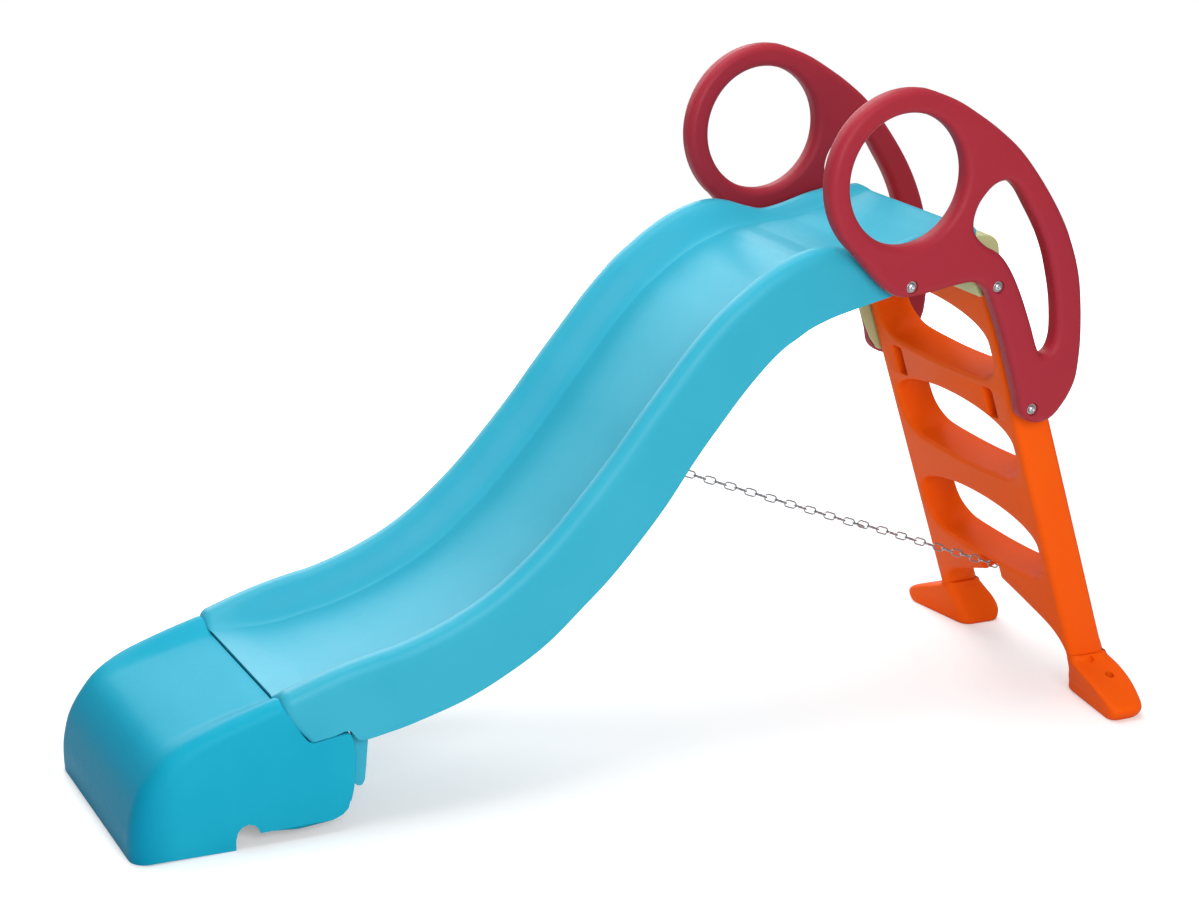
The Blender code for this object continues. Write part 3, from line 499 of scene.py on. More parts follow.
def side_y(x, z):
    """Half width of the chute's side, which steps in by a smooth S behind the slanting end of the rolled
    rail."""
    run = (RECESS_BOTTOM[0] - RECESS_TOP[0]) / (RECESS_TOP[1] - RECESS_BOTTOM[1])
    past = x - (RECESS_TOP[0] + (RECESS_TOP[1] - z) * run)
    t = np.clip(past / RECESS_ROUNDING + 0.5, 0, 1)
    return CHUTE_OUTER_Y - (CHUTE_OUTER_Y - PLATFORM_OUTER_Y) * t * t * (3 - 2 * t)


def chute_grid():
    """The chute's outer surface on rows along the slide and columns from the middle over one rail.

    Across a row the floor is flat to its edge, rises by half a cosine wave to the crest, turns over the
    shoulder in a quarter ellipse and runs straight down the skirt. Depths are measured square to the crest
    line. The first rows are closer together, bulge by half a sine wave down the skirt and roll down and in
    at the end. The platform's rear corners are drawn forward by the squares of the shares past their start.
    """
    rows = smooth_path(CHUTE_ROWS, ROW_STEPS)
    fine = (1 - np.cos(np.linspace(0, math.pi / 2, END_FINE_ROWS + 1)[:-1]))[:, None]
    rows = np.vstack((rows[0] + (rows[END_ROWS] - rows[0]) * fine, rows[END_ROWS:]))
    coarse = np.arange(END_ROWS, len(rows) - len(fine) + END_ROWS)
    place_along = np.concatenate((END_ROWS * fine[:, 0], coarse)) / ROW_STEPS
    crest, depth, skirt_end, crest_y = rows[:, :2], rows[:, 2:3], rows[:, 3:5], rows[:, 5:6]
    along = np.gradient(crest, axis=0)
    normal = np.stack((-along[:, 1], along[:, 0]), -1)
    normal /= np.linalg.norm(normal, axis=1, keepdims=True)
    upright = np.clip(1 - place_along / UPRIGHT_ROWS, 0, 1)[:, None]
    normal = normal * (1 - upright) + np.array((0.0, 1.0)) * upright
    normal /= np.linalg.norm(normal, axis=1, keepdims=True)
    inner_y = crest_y - CREST_TOP_WIDTH
    floor_y = np.linspace(0, FLOOR_EDGE_Y, FLOOR_COLUMNS + 1)[None, :-1] * np.ones_like(depth)
    share = np.linspace(0, 1, WALL_COLUMNS)[None, :]
    wall_y = FLOOR_EDGE_Y + (inner_y - FLOOR_EDGE_Y) * share
    drop = np.hstack((np.broadcast_to(depth, floor_y.shape), depth * (1 + np.cos(math.pi * share)) / 2,
                      np.zeros_like(depth)))
    y = np.hstack((floor_y, wall_y, crest_y))
    place = crest[:, None, :] - normal[:, None, :] * drop[:, :, None]
    skirt = skirt_end - crest
    shoulder = SHOULDER_DROP / np.linalg.norm(skirt, axis=1, keepdims=True)
    shoulder = np.minimum(shoulder, SHOULDER_LIMIT)
    turn = np.radians(np.linspace(0, 90, SHOULDER_COLUMNS + 1)[1:])[None, :]
    down = np.linspace(0, 1, SKIRT_COLUMNS + 1)[None, 1:]
    fall = np.hstack((shoulder * (1 - np.cos(turn)), shoulder + (1 - shoulder) * down))
    side = crest[:, None, :] + skirt[:, None, :] * fall[:, :, None]
    bulge = END_BULGE * np.clip(1 - place_along / BULGE_ROWS, 0, 1)[:, None]
    side[:, :, 0] -= bulge * np.sin(math.pi * fall)
    edge = side_y(side[:, :, 0], side[:, :, 1])
    swing = np.hstack((np.sin(turn), np.ones((1, SKIRT_COLUMNS))))
    outer = crest_y + (edge - crest_y) * swing
    close = np.clip(1 - np.linalg.norm(crest - crest[0], axis=1) / END_ROLL, 0, 1)[:, None]
    roll = END_ROLL * ROLL_SHARE * (1 - np.sqrt(1 - close ** 2))
    height = 1 - drop / depth
    place[:, :, 1] -= roll * np.clip(height, 0, 1)
    side[:, :, 1] -= roll * (1 - np.clip(fall / 0.3, 0, 1))
    outer -= roll * 0.6 * np.sin(np.radians(90) * np.clip(fall / 0.2, 0, 1))
    place, y = np.concatenate((place, side), 1), np.hstack((y, outer))
    at_rear = np.clip((crest[:, :1] - REAR_CORNER_X) / REAR_CORNER_RUN, 0, 1)
    at_side = np.clip((y - REAR_CORNER_Y) / REAR_CORNER_WIDTH, 0, 1)
    place[:, :, 0] -= REAR_CORNER_DEPTH * at_rear ** 2 * at_side ** 2
    return place, y


def add_wall(obj, rim_width, harden=False):
    """Grows a surface inwards into a wall 5 mm thick and rounds its rims."""
    wall = obj.modifiers.new("wall", "SOLIDIFY")
    wall.thickness = WALL * MM
    wall.offset = -1.0
    rim = obj.modifiers.new("rim", "BEVEL")
    rim.width = rim_width * MM
    rim.segments = 3
    rim.limit_method = "ANGLE"
    rim.angle_limit = math.radians(50)
    rim.harden_normals = harden


def make_chute():
    """The chute as a shell with both rails, the bosses for the pivots and the chain, and the two tabs."""
    place, y = chute_grid()
    half = np.stack((place[:, :, 0], y, place[:, :, 1]), -1)
    mirrored = half[:, 1:][:, ::-1] * (1, -1, 1)
    full = np.concatenate((mirrored, half), 1)
    rows, columns = full.shape[:2]
    obj = make_mesh("chute_shell", full.reshape(-1, 3), grid_faces(rows, columns), "chute", CHUTE_BLUE)
    add_wall(obj, 1.6)
    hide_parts("slide_chute")
    shapes = []
    for _, sign in SIDES:
        shapes.append(lathe((PIVOT[0], sign * PIVOT_BOSS_Y, PIVOT[1]), (0, sign, 0), PIVOT_BOSS))
    shapes.append(lathe(CHAIN_TOP + FLOOR_INWARD * CHAIN_BOSS_LIFT, FLOOR_INWARD, CHAIN_BOSS))
    bosses = make_mesh("chute_bosses", *join_shapes(shapes), "chute", CHUTE_BLUE)
    fix_normals(bosses)
    sharpen(bosses, 40)
    for side, sign in SIDES:
        points, faces = rounded_plate(even_loop(TAB_OUTLINE, 6), [], TAB_THICKNESS, 1.6, steps=3)
        points = np.stack((points[:, 0], sign * (TAB_INNER_Y + points[:, 2]), points[:, 1]), -1)
        tab = make_mesh("chute_tab_" + side, points, faces, "chute", CHUTE_BLUE)
        fix_normals(tab)


# The end module

MODULE_TOP = ((-762, 262), (-795, 253), (-854, 235), (-922, 210), (-970, 183), (-1001, 149),
              (-1023, 110), (-1034, 65), (-1036, 30), (-1034, 0))
MODULE_REAR = ((-640, 55), (-634.5, 82), (-631.5, 124), (-633.5, 160), (-640, 180), (-650, 184),
               (-680, 181), (-712, 178), (-728, 193), (-740, 214), (-752, 240))
CHANNEL_DEPTHS = ((-1000, 0.0), (-985, 0.3), (-960, 3.0), (-922, 8.0), (-854, 14.5), (-795, 18.5),
                  (-762, 22.0))
MODULE_NOTCH = ((-853, 0), (-853, 18), (-850, 32), (-842, 41), (-830.5, 45), (-819, 41), (-811, 32),
                (-808, 25), (-740, 25), (-676, 25), (-657, 32), (-646, 43))
MODULE_COLUMNS = 33
REAR_ROUNDING = 3.0
TOP_ROUNDING = 24.0
NOSE_ROUNDING = 36.0
NOSE_START = 900.0
NOSE_END = 1010.0
CHANNEL_REAR_X = -740.0
CHANNEL_EDGE_Y = 212.0


def smooth_step(value, low, high):
    """0 below low, 1 above high, and a smooth S between them."""
    t = np.clip((value - low) / (high - low), 0, 1)
    return t * t * (3 - 2 * t)


def make_end_module():
    """The end module: its side outline carried across the slide and rolled over at both sides, with the
    channel sunk into its top by a depth along X times a half-cosine across Y."""
    path, normal = [], []
    for points in (smooth_path(MODULE_REAR, 6), smooth_path(MODULE_TOP, 14)):
        along = np.gradient(points, axis=0)
        along /= np.linalg.norm(along, axis=1, keepdims=True)
        path.append(points)
        normal.append(np.stack((along[:, 1], -along[:, 0]), -1))
    rear_count = len(path[0])
    path, normal = np.vstack(path), np.vstack(normal)
    on_top = np.arange(len(path)) >= rear_count
    on_nose = smooth_step(-path[:, 0], NOSE_START, NOSE_END)
    gain = TOP_ROUNDING - REAR_ROUNDING + (NOSE_ROUNDING - TOP_ROUNDING) * on_nose
    rounding = (REAR_ROUNDING + gain * on_top)[:, None]
    turn = np.radians(np.linspace(90, 0, 10))[None, :]
    rim_y = MODULE_HALF_WIDTH - rounding * (1 - np.sin(turn))
    inset = rounding * (1 - np.cos(turn))
    inner = np.linspace(1, 0, MODULE_COLUMNS)[None, 1:-1] * rim_y[:, -1:]
    y = np.hstack((rim_y, inner, np.zeros((len(path), 1))))
    inset = np.hstack((inset, np.zeros((len(path), y.shape[1] - inset.shape[1]))))
    points = path[:, None, :] - normal[:, None, :] * inset[:, :, None]
    depths = np.array(CHANNEL_DEPTHS)
    sink = np.interp(points[:, :, 0], depths[:, 0], depths[:, 1]) * (points[:, :, 0] < CHANNEL_REAR_X)
    fade = np.clip((y - FLOOR_EDGE_Y) / (CHANNEL_EDGE_Y - FLOOR_EDGE_Y), 0, 1)
    points[:, :, 1] -= sink * (1 + np.cos(math.pi * fade)) / 2
    close = np.clip(1 + (path[:, :1] - MODULE_TOP[0][0]) / END_ROLL, 0, 1) * on_top[:, None]
    points[:, :, 1] -= END_ROLL * ROLL_SHARE * (1 - np.sqrt(1 - close ** 2)) * fade
    half = np.stack((points[:, :, 0], y, points[:, :, 1]), -1)
    full = np.concatenate((half, half[:, :-1][:, ::-1] * (1, -1, 1)), 1)
    rows, columns = full.shape[:2]
    vertices = full.reshape(-1, 3)
    faces = grid_faces(rows, columns)
    bottom = np.array(MODULE_NOTCH, dtype=float)
    for column in (0, columns - 1):
        ring = full[:, column]
        extra = np.stack((bottom[:, 0], np.full(len(bottom), ring[0, 1]), bottom[:, 1]), -1)
        loop = np.vstack((ring, extra))
        first = len(vertices)
        vertices = np.vstack((vertices, extra))
        index = np.concatenate((np.arange(rows) * columns + column, np.arange(len(extra)) + first))
        for triangle in tessellate_polygon([[Vector((a, c, 0)) for a, _, c in loop]]):
            faces.append([int(index[corner]) for corner in triangle])
    obj = make_mesh("end_module_shell", vertices, faces, "chute", MODULE_BLUE)
    fix_normals(obj, merge=MERGE_DISTANCE)
    for face in obj.data.polygons:
        face.use_smooth = face.loop_total != 3
    add_wall(obj, 1.4, harden=True)
    sharpen(obj, 42)
    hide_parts("end_module")


# The ladder

CROTCH = ((0, 752), (28, 755), (75, 771), (122, 789), (176, 812), (205, 838), (215, 872), (216, 985))
# The ladder is thinner at the top: 50 mm at 60 mm up its slope, and 31 mm more at 240 mm below that.
TAPER_THICKNESS = 50.0
TAPER_TOP = 60.0
TAPER_GAIN = 31.0
TAPER_LENGTH = 240.0


def on_ladder(points):
    """Points given across the ladder, up its slope and in from its front face, placed in the drawing."""
    across, up, depth = points[:, 0], points[:, 1], points[:, 2]
    sine, cosine = math.sin(LADDER_LEAN), math.cos(LADDER_LEAN)
    x = LADDER_TOP_FRONT[0] - sine * up + cosine * depth
    z = LADDER_TOP_FRONT[1] + cosine * up + sine * depth
    return np.stack((x, across, z), -1)


def window_loop(top):
    """A step opening: half an ellipse at the top, upright ends and a nearly flat bottom with round
    corners."""
    half = WINDOW_HALF_WIDTH
    turn = np.radians(np.arange(0, 181, 10))
    arch = np.stack((half * np.cos(turn), top + WINDOW_ARCH - WINDOW_ARCH * np.sin(turn)), -1)
    corner = np.array(((half, 92), (half - 6, 118), (half - 24, 138), (half - 56, 151), (70, 157),
                       (0, 159)))
    right = np.stack((corner[:, 0], corner[:, 1] + top), -1)[::-1]
    left = (right * (-1, 1))[::-1][:-1]
    loop = np.vstack((arch, left, right))
    return even_loop(smooth_path(loop, 4, closed=True), 7) * (1, -1)


def make_ladder():
    """The ladder: a thick plate with rolled edges, cut level at its top and its feet."""
    right = smooth_path(CROTCH, 8)
    outline = np.vstack((right, ((LADDER_HALF_WIDTH, 985), (LADDER_HALF_WIDTH, -40))))
    outline = np.vstack((outline, (outline[1:] * (-1, 1))[::-1]))
    outline = even_loop(outline * (1, -1), 9)
    slots = [rounded_rectangle((sign * SLOT_ACROSS, SLOT_UP), 10, 25.9, 7, 6) for _, sign in SIDES]
    holes = [window_loop(top) for top in WINDOW_TOPS]
    points, faces = rounded_plate(outline, holes, LADDER_THICKNESS, LADDER_ROUNDING, slots, SLOT_DEPTH,
                                  hole_rounding=WINDOW_ROUNDING)
    up = points[:, 1]
    limit = TAPER_THICKNESS + (TAPER_TOP - up) * TAPER_GAIN / TAPER_LENGTH
    limit = np.where(up > TAPER_TOP - TAPER_LENGTH, limit, LADDER_THICKNESS)
    points[:, 2] = np.minimum(points[:, 2], limit)
    obj = make_mesh("ladder_panel", on_ladder(points), faces, "ladder", LADDER_ORANGE)
    shape = bmesh.new()
    shape.from_mesh(obj.data)
    for z, outwards in ((LADDER_TOP_Z, 1), (LADDER_BOTTOM_Z, -1)):
        geometry = list(shape.verts) + list(shape.edges) + list(shape.faces)
        cut = bmesh.ops.bisect_plane(shape, geom=geometry, plane_co=(0, 0, z * MM),
                                     plane_no=(0, 0, outwards), clear_outer=True)
        edges = [item for item in cut["geom_cut"] if isinstance(item, bmesh.types.BMEdge)]
        bmesh.ops.holes_fill(shape, edges=edges, sides=0)
    bmesh.ops.remove_doubles(shape, verts=shape.verts, dist=MERGE_DISTANCE * MM)
    bmesh.ops.recalc_face_normals(shape, faces=shape.faces)
    shape.to_mesh(obj.data)
    shape.free()
    cut_chain_pocket(obj)
    sharpen(obj, 38)
    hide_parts("ladder")


def cut_holes(obj, shapes):
    """Takes closed shapes out of a moulding and keeps the result as its mesh."""
    mesh = bpy.data.meshes.new("cut")
    vertices, faces = join_shapes(shapes)
    mesh.from_pydata(to_frame(vertices).tolist(), [], faces)
    cutter = bpy.data.objects.new("cut", mesh)
    bpy.context.scene.collection.objects.link(cutter)
    fix_normals(cutter)
    modifier = obj.modifiers.new("cut", "BOOLEAN")
    modifier.operation = "DIFFERENCE"
    modifier.object = cutter
    bpy.context.view_layer.update()
    obj.data = bpy.data.meshes.new_from_object(obj.evaluated_get(bpy.context.evaluated_depsgraph_get()))
    obj.modifiers.clear()
    bpy.data.objects.remove(cutter)


def cut_chain_pocket(ladder):
    """Sinks the chain's pocket into the ladder's front above the crotch."""
    loop = rounded_rectangle((0, CHAIN_POCKET_UP), 30, 31.5, 7, 4)
    points, faces = rounded_plate(loop, [], 64.0, 3.0, steps=3)
    points[:, 2] -= 12
    cut_holes(ladder, [(on_ladder(points), faces)])


# The handrails

RAIL_EDGE = ((306, 969), (352, 921), (383, 893), (414, 880), (471, 884), (543, 895), (572, 893), (597, 876),
             (615, 841), (640, 781), (666, 709), (682, 662), (689, 632), (706, 615), (735, 607), (762, 614),
             (783, 634), (801, 660), (813, 690), (817, 732), (817, 773), (812, 831), (802, 890), (782, 948),
             (752, 1007), (707, 1072), (654, 1134), (602, 1177), (552, 1210), (506, 1236))
HAND_OPENING = ((625, 1081), (650, 1064), (675, 1028), (703, 984), (724, 940), (738, 897), (749, 853),
                (755, 810), (756, 776), (748, 751), (731, 742), (718, 757), (698, 808), (672, 867),
                (647, 912), (620, 944), (588, 962), (564, 984), (557, 1006), (561, 1030), (573, 1052),
                (597, 1075))


def make_handrail(side, sign):
    """A handrail: a plate rolled to a nearly round edge along its outline, its ring and its hand opening,
    with a pocket and a bore for each bolt."""
    ring = arc(RING_CENTRE, RING_RADIUS, 75, 227, 22)
    outline = even_loop(smooth_path(np.vstack((ring, RAIL_EDGE)), 4, closed=True), 6)
    hole = arc(RING_CENTRE, RING_HOLE_RADIUS, 0, 357.5, 143)
    opening = even_loop(smooth_path(HAND_OPENING, 6, closed=True), 6)
    thickness = RAIL_OUTER_Y - RAIL_INNER_Y
    points, faces = rounded_plate(outline, [hole, opening], thickness, RAIL_ROUNDING, steps=9)
    placed = np.stack((points[:, 0], sign * (RAIL_OUTER_Y - points[:, 2]), points[:, 1]), -1)
    obj = make_mesh("handrail_moulding_" + side, placed, faces, "ladder", RAIL_CRIMSON)
    fix_normals(obj)
    floor = OVERRUN + thickness - POCKET_DEPTH
    profile = [(0, BOLT_BORE_RADIUS), (floor, BOLT_BORE_RADIUS), (floor, POCKET_RADIUS - POCKET_CORNER),
               (floor + POCKET_CORNER, POCKET_RADIUS), (thickness + 2 * OVERRUN, POCKET_RADIUS)]
    cut_holes(obj, [lathe((x, sign * (RAIL_INNER_Y - OVERRUN), z), (0, sign, 0), profile)
                    for x, z in (PIVOT, UPPER_BOLT, LOWER_BOLT)])
    sharpen(obj, 45)
    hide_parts("handrail_" + side)


# The feet

# Each level: Z, inner Y, outer Y, then X of the inner front, outer front, outer rear and inner rear
# corners.
FOOT_LEVELS = (
    (0, 187, 366, 924, 899, 965, 1012),
    (6, 184, 372, 920, 895, 969, 1016),
    (20, 187, 378, 917, 893, 971, 1020),
    (34, 192, 364, 911, 892, 974, 1018),
    (52, 199, 322, 905, 890, 984, 1008),
    (68, 204, 278, 898, 888, 988, 994),
    (80, 207, 252, 892, 888, 982, 984),
    (92, 209, 244, 889, 889, 974, 974),
)
FOOT_ROUNDING = 24.0
END_SHRINK = 0.97
PEG_HOLE = (946.0, 290.0, 20.0)
PEG_HOLE_RADIUS = 9.0
ANKLE_NOTCH = (929.0, 252.0, 84.0)


def rounded_corners(corners, radius, steps):
    """A closed loop through four corners, each replaced by a quadratic curve that starts and ends a radius
    away from it."""
    before = np.roll(corners, 1, 0) - corners
    after = np.roll(corners, -1, 0) - corners
    before /= np.linalg.norm(before, axis=1, keepdims=True)
    after /= np.linalg.norm(after, axis=1, keepdims=True)
    t = np.linspace(0, 1, steps)[None, :, None]
    start = (corners + before * radius)[:, None]
    end = (corners + after * radius)[:, None]
    curve = start * (1 - t) ** 2 + corners[:, None] * 2 * t * (1 - t) + end * t ** 2
    return curve.reshape(-1, 2)


def make_foot(side, sign):
    """A foot: rounded four-sided levels, smoothly joined from the sole to the ankle."""
    levels = smooth_path(FOOT_LEVELS, 6)
    rings = []
    for z, inner, outer, x_if, x_of, x_or, x_ir in levels:
        corners = np.array(((x_if, inner), (x_of, outer), (x_or, outer), (x_ir, inner)), dtype=float)
        loop = rounded_corners(corners, FOOT_ROUNDING, 9)
        rings.append(np.column_stack((loop[:, 0], sign * loop[:, 1], np.full(len(loop), z))))
    count = len(rings[0])
    shrunk = [ring.mean(0) + (ring - ring.mean(0)) * END_SHRINK for ring in (rings[0], rings[-1])]
    points = np.vstack([shrunk[0]] + rings + [shrunk[1]])
    faces = grid_faces(len(rings) + 2, count, wrap_columns=True)
    last = (len(rings) + 1) * count
    faces.append(list(range(count)))
    faces.append(list(range(last, last + count)))
    obj = make_mesh("foot_moulding_" + side, points, faces, "ladder", FOOT_ORANGE)
    fix_normals(obj)
    peg_start = np.array(PEG_HOLE) * (1, sign, 1)
    notch_start = np.array(ANKLE_NOTCH) * (1, sign, 1)
    cut_holes(obj, [lathe(peg_start, (0, 0, 1), [(0, PEG_HOLE_RADIUS), (100, PEG_HOLE_RADIUS)], 28),
                    lathe(notch_start, (0, sign, 0.25), [(-9, 8), (30, 8)], 4)])
    sharpen(obj, 50)
    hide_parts("foot_" + side)


# The top bracket

SADDLE_FRONT = ((587, 905.5), (583, 930), (577, 957.5))
SADDLE_TOP = ((611, 961), (616, 965), (636, 965), (653, 959), (666, 943), (671, 905.5))
SADDLE_LENGTH = 414.0
LIP_END_Y = -236.0
# The sections of the lip and the strip: how far up the ladder's slope and in from its front face.
LIP_SECTION = ((-48, -0.3), (-46, -8), (-36, -14), (6, -15), (30, -12), (30, 8), (5.8, -0.3))
STRIP_SECTION = ((6, -15), (-140, -19), (-215, -18), (-262, -13), (-290, -4), (-298, 6), (-292, 16),
                 (6, 16))


def bar_across(section, low_y, high_y, rounding):
    """A section drawn on the ladder's side, carried between two Y with softened ends."""
    side = on_ladder(np.column_stack((np.zeros(len(section)), section)))
    outline = even_loop(side[:, (0, 2)], 4)
    points, faces = rounded_plate(outline, [], high_y - low_y, rounding, steps=3)
    return np.stack((points[:, 0], low_y + points[:, 2], points[:, 1]), -1), faces


def make_bracket():
    """The bracket: a saddle on the ladder's top, a rolled lip before it and a strip down the far side."""
    outline = even_loop(np.vstack((smooth_path(SADDLE_FRONT, 4), smooth_path(SADDLE_TOP, 4))), 5)
    points, faces = rounded_plate(outline, [], SADDLE_LENGTH, 4.0, steps=4)
    saddle = np.stack((points[:, 0], points[:, 2] - SADDLE_LENGTH / 2, points[:, 1]), -1)
    rail_side = RAIL_INNER_Y - CLEARANCE
    parts = [(saddle, faces), bar_across(LIP_SECTION, LIP_END_Y, rail_side, 3.0),
             bar_across(STRIP_SECTION, LADDER_HALF_WIDTH + CLEARANCE, rail_side, 1.5)]
    obj = make_mesh("bracket_moulding", *join_shapes(parts), "ladder", BRACKET_GREEN)
    fix_normals(obj)
    sharpen(obj, 40)
    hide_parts("top_bracket")


# Bolts

WASHER_LIFT = 0.3
HEAD_LIFT = 1.9
HEAD_EDGE = 0.4
SHANK_LENGTH = 50.0
SHANK_RADIUS = 4.0
SLEEVE_Y = 222.3
SLEEVE_LENGTH = 22.4
# Each bolt: label, place, washer's inner and outer radius, head's radius and height, body.
BOLTS = (
    ("upper", UPPER_BOLT, 4.2, 10.5, 7.5, 4.4, "ladder"),
    ("lower", LOWER_BOLT, 4.2, 10.5, 7.5, 4.4, "ladder"),
    ("pivot", PIVOT, 5.2, 11.0, 8.0, 4.8, "chute"),
)


def domed_head(radius, height):
    """The profile of a button head: a flat seat, a short side, a dome and a sunk socket."""
    turn = np.radians(np.linspace(0, 58, 7))
    low = height * 0.25
    dome = [(low + height * 0.75 * math.sin(t) / math.sin(turn[-1]), radius * math.cos(t)) for t in turn]
    sunk = height * 0.3
    socket = [(height - HEAD_EDGE, radius * 0.48), (sunk, radius * 0.46), (sunk, radius * 0.2)]
    return [(0, radius - HEAD_EDGE), (HEAD_EDGE, radius)] + dome + socket


def make_fastener(name, node, place, y, sign, head_radius, head_height, body):
    """A bolt: a button head with a socket, on a shank."""
    axis = (0, sign, 0)
    head = lathe((place[0], sign * y, place[1]), axis, domed_head(head_radius, head_height))
    shank = lathe((place[0], sign * (y - SHANK_LENGTH), place[1]), axis,
                  [(0, SHANK_RADIUS - 1), (2, SHANK_RADIUS), (SHANK_LENGTH, SHANK_RADIUS)], 20)
    obj = make_mesh(name, *join_shapes([head, shank]), body, BOLT_ZINC)
    fix_normals(obj)
    sharpen(obj, 35)
    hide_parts(node)


def make_washer(name, node, place, y, sign, inner, outer, body, thickness=1.4, material=BOLT_ZINC):
    """A flat ring with softened edges. The lathe's two end caps give way to the wall of the hole."""
    edge = min(0.3, thickness / 4)
    profile = [(edge, inner), (0, inner + edge), (0, outer - edge), (edge, outer),
               (thickness - edge, outer), (thickness, outer - edge), (thickness, inner + edge),
               (thickness - edge, inner)]
    points, faces = lathe((place[0], sign * y, place[1]), (0, sign, 0), profile)
    faces = faces[:-2]
    last = (len(profile) - 1) * TURNED_SIDES
    for k in range(TURNED_SIDES):
        after = (k + 1) % TURNED_SIDES
        faces.append([k, after, last + after, last + k])
    obj = make_mesh(name, points, faces, body, material)
    fix_normals(obj)
    sharpen(obj, 35)
    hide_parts(node)


def make_bolts():
    """Every bolt, washer and spacer of the handrails and the hinge."""
    floor_y = RAIL_OUTER_Y - POCKET_DEPTH
    for side, sign in SIDES:
        for label, place, inner, outer, radius, height, body in BOLTS:
            make_washer(f"{label}_flat_washer_{side}", f"{label}_washer_{side}", place,
                        floor_y + WASHER_LIFT, sign, inner, outer, body)
            make_fastener(f"{label}_button_bolt_{side}", f"{label}_bolt_{side}", place,
                          floor_y + HEAD_LIFT, sign, radius, height, body)
        make_washer(f"pivot_sleeve_{side}", f"pivot_spacer_{side}", PIVOT, SLEEVE_Y, sign, 5.2, 13.0,
                    "chute", SLEEVE_LENGTH, RAIL_CRIMSON)
        for node in ("pivot_nut", "module_screw", "foot_screw"):
            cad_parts[f"{node}_{side}"].data.materials[0] = BOLT_ZINC


# The chain

def link_shape(centre, along, side):
    """One link: wire carried round two half circles and two straights."""
    bend = LINK_WIDTH / 2 - LINK_WIRE_RADIUS
    reach = LINK_LENGTH / 2 - LINK_WIRE_RADIUS - bend
    right = arc((reach, 0), bend, -90, 90, 8)
    left = arc((-reach, 0), bend, 90, 270, 8)
    flat = np.vstack((right, left))
    path = centre + flat[:, :1] * along + flat[:, 1:] * side
    return tube_along(path, LINK_WIRE_RADIUS, 8)


def make_chain():
    """The stay chain: links turned by a quarter from one to the next, in the CAD's two halves.

    The halves drift aside by CHAIN_SPREAD towards their loose ends as the CAD's do, so that they pass each
    other in the fold.
    """
    start = CHAIN_TOP - FLOOR_INWARD * EYE_RADIUS
    end = CHAIN_BOTTOM - LADDER_INWARD * EYE_RADIUS
    length = float(np.linalg.norm(end - start))
    along = (end - start) / length
    pitch = (length - 2 * END_LINK_OFFSET) / (CHAIN_LINKS - 1)
    upright = np.cross(along, ACROSS)
    halves = (("chain_front", 0, CHAIN_FRONT_LINKS, -1), ("chain_rear", CHAIN_FRONT_LINKS, CHAIN_LINKS, 1))
    for body, first, last, drift in halves:
        links = []
        for k in range(first, last):
            share = (k + 0.5 if drift < 0 else CHAIN_LINKS - k - 0.5) / (last - first)
            centre = start + along * (END_LINK_OFFSET + pitch * k) + ACROSS * drift * CHAIN_SPREAD * share
            links.append(link_shape(centre, along, ACROSS if k % 2 else upright))
        obj = make_mesh(body + "_links", *join_shapes(links), body, CHAIN_ZINC)
        fix_normals(obj)
        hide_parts(body)


def make_eye(name, node, centre, inward, grip, body):
    """An eye screw: a wire ring with a shank that runs inwards."""
    turn = np.radians(np.arange(0, 360, 12))[:, None]
    ring = centre + EYE_RADIUS * (np.cos(turn) * inward + np.sin(turn) * ACROSS)
    shank = lathe(centre + inward * 6.2, inward,
                  [(0, 2.2), (2, EYE_SHANK_RADIUS), (grip, EYE_SHANK_RADIUS)], 20)
    obj = make_mesh(name, *join_shapes([tube_along(ring, EYE_WIRE_RADIUS, 12), shank]), body, BOLT_ZINC)
    fix_normals(obj)
    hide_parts(node)


# The setting

CAMERA_POSITION = (-2151.5, -4225.2, 2050.1)
CAMERA_RIGHT = (0.8982, -0.4389, 0.0245)
CAMERA_DOWN = (-0.1117, -0.2819, -0.9529)
CAMERA_FORWARD = (0.4251, 0.8532, -0.3022)
CAMERA_LENS = 79.65


def make_camera():
    """The camera at the photograph's viewing angle."""
    data = bpy.data.cameras.new("camera")
    data.lens = CAMERA_LENS
    data.sensor_width = 36.0
    data.sensor_fit = "HORIZONTAL"
    data.clip_end = 100.0
    camera = bpy.data.objects.new("camera", data)
    turn = Matrix((CAMERA_RIGHT, -Vector(CAMERA_DOWN), -Vector(CAMERA_FORWARD))).transposed().to_4x4()
    camera.matrix_world = Matrix.Translation(Vector(CAMERA_POSITION) * MM) @ turn
    bpy.context.scene.collection.objects.link(camera)
    bpy.context.scene.camera = camera


def make_area_light(name, position, target, size, power):
    """A round soft light aimed at a point."""
    data = bpy.data.lights.new(name, "AREA")
    data.shape = "DISK"
    data.size = size
    data.energy = power
    light = bpy.data.objects.new(name, data)
    direction = Vector(target) - Vector(position)
    light.location = position
    light.rotation_euler = direction.to_track_quat("-Z", "Y").to_euler()
    bpy.context.scene.collection.objects.link(light)


FLOOR_REACH = 3.4
FLOOR_DROP = 0.0005
FLOOR_LIFT = 0.30
FLOOR_FADE_START = 2.0
FLOOR_FADE_END = 3.0


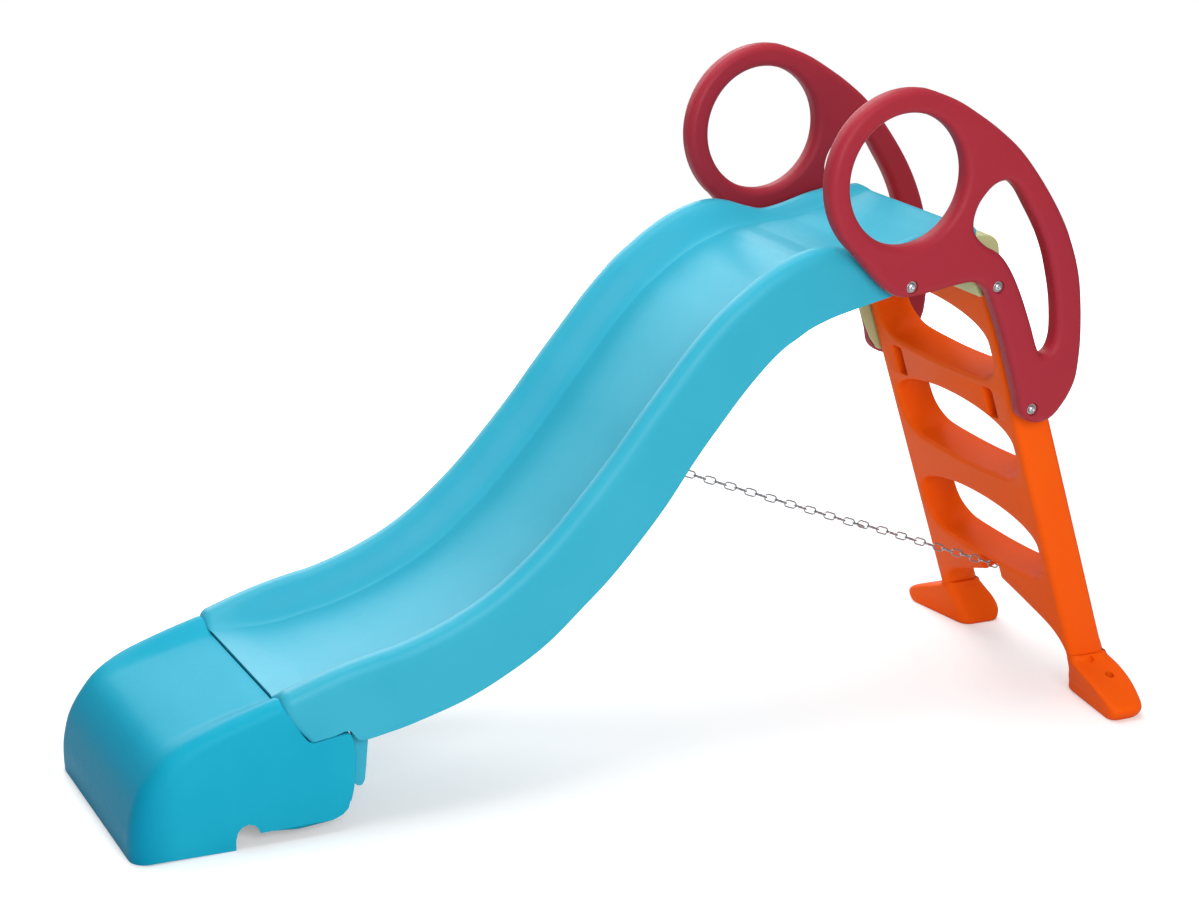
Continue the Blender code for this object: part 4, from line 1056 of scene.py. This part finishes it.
def make_floor():
    """A plain pale floor that keeps the slide's soft shadow. For the camera it is lifted a little
    everywhere, and to full white from 2.0 to 3.0 m off the middle, so that its edge doesn't show."""
    mesh = bpy.data.meshes.new("floor")
    corners = ((-1, -1), (1, -1), (1, 1), (-1, 1))
    mesh.from_pydata([(a * FLOOR_REACH, b * FLOOR_REACH, -FLOOR_DROP) for a, b in corners], [],
                     [(0, 1, 2, 3)])
    material, tree, shader = new_material("studio_floor")
    shader.inputs["Base Color"].default_value = (0.8, 0.8, 0.8, 1)
    shader.inputs["Roughness"].default_value = 0.9
    shader.inputs["Specular IOR Level"].default_value = 0.1
    path = add_node(tree, "ShaderNodeLightPath")
    place = add_node(tree, "ShaderNodeTexCoord").outputs["Object"]
    distance = add_node(tree, "ShaderNodeVectorMath", {"operation": "LENGTH"}, links={0: place})
    far = add_node(tree, "ShaderNodeMapRange", {"interpolation_type": "SMOOTHSTEP"},
                   {"From Min": FLOOR_FADE_START, "From Max": FLOOR_FADE_END, "To Min": FLOOR_LIFT,
                    "To Max": 1.0},
                   {"Value": distance.outputs["Value"]})
    lift = add_node(tree, "ShaderNodeMath", {"operation": "MULTIPLY"},
                    links={0: path.outputs["Is Camera Ray"], 1: far.outputs["Result"]})
    shader.inputs["Emission Color"].default_value = (1, 1, 1, 1)
    tree.links.new(lift.outputs["Value"], shader.inputs["Emission Strength"])
    mesh.materials.append(material)
    floor = bpy.data.objects.new("floor", mesh)
    bpy.context.scene.collection.objects.link(floor)


def make_world():
    """An even pale sky, which is white to the camera."""
    world = bpy.data.worlds.new("studio")
    world.use_nodes = True
    tree = world.node_tree
    sky = tree.nodes["Background"]
    sky.inputs["Color"].default_value = (1, 1, 1, 1)
    sky.inputs["Strength"].default_value = 0.32
    white = add_node(tree, "ShaderNodeBackground", values={"Color": (1, 1, 1, 1), "Strength": 1.0})
    path = add_node(tree, "ShaderNodeLightPath")
    mix = add_node(tree, "ShaderNodeMixShader", links={0: path.outputs["Is Camera Ray"],
                                                       1: sky.outputs["Background"],
                                                       2: white.outputs["Background"]})
    tree.links.new(mix.outputs["Shader"], tree.nodes["World Output"].inputs["Surface"])
    bpy.context.scene.world = world


def make_setting():
    """Camera, floor, world and lamps. The lamps: from the viewer's side, from above and from behind."""
    make_camera()
    make_floor()
    make_world()
    make_area_light("key", (-0.9, -4.5, 2.5), (0.2, 0, 0.5), 2.6, 152)
    make_area_light("top", (-0.3, 0.4, 4.6), (-0.1, 0, 0), 3.4, 130)
    make_area_light("back", (0.2, 4.4, 2.8), (-0.3, 0, 0.5), 4.4, 170)
    bpy.context.scene.view_settings.view_transform = "Standard"


make_setting()
make_chute()
make_end_module()
make_ladder()
make_bracket()
for rail_side, rail_sign in SIDES:
    make_handrail(rail_side, rail_sign)
    make_foot(rail_side, rail_sign)
make_bolts()
make_chain()
make_eye("chute_eye_screw", "chain_eye", CHAIN_TOP, FLOOR_INWARD, 14, "chute")
make_eye("ladder_eye_screw", "chain_hook", CHAIN_BOTTOM, LADDER_INWARD, 44, "ladder")
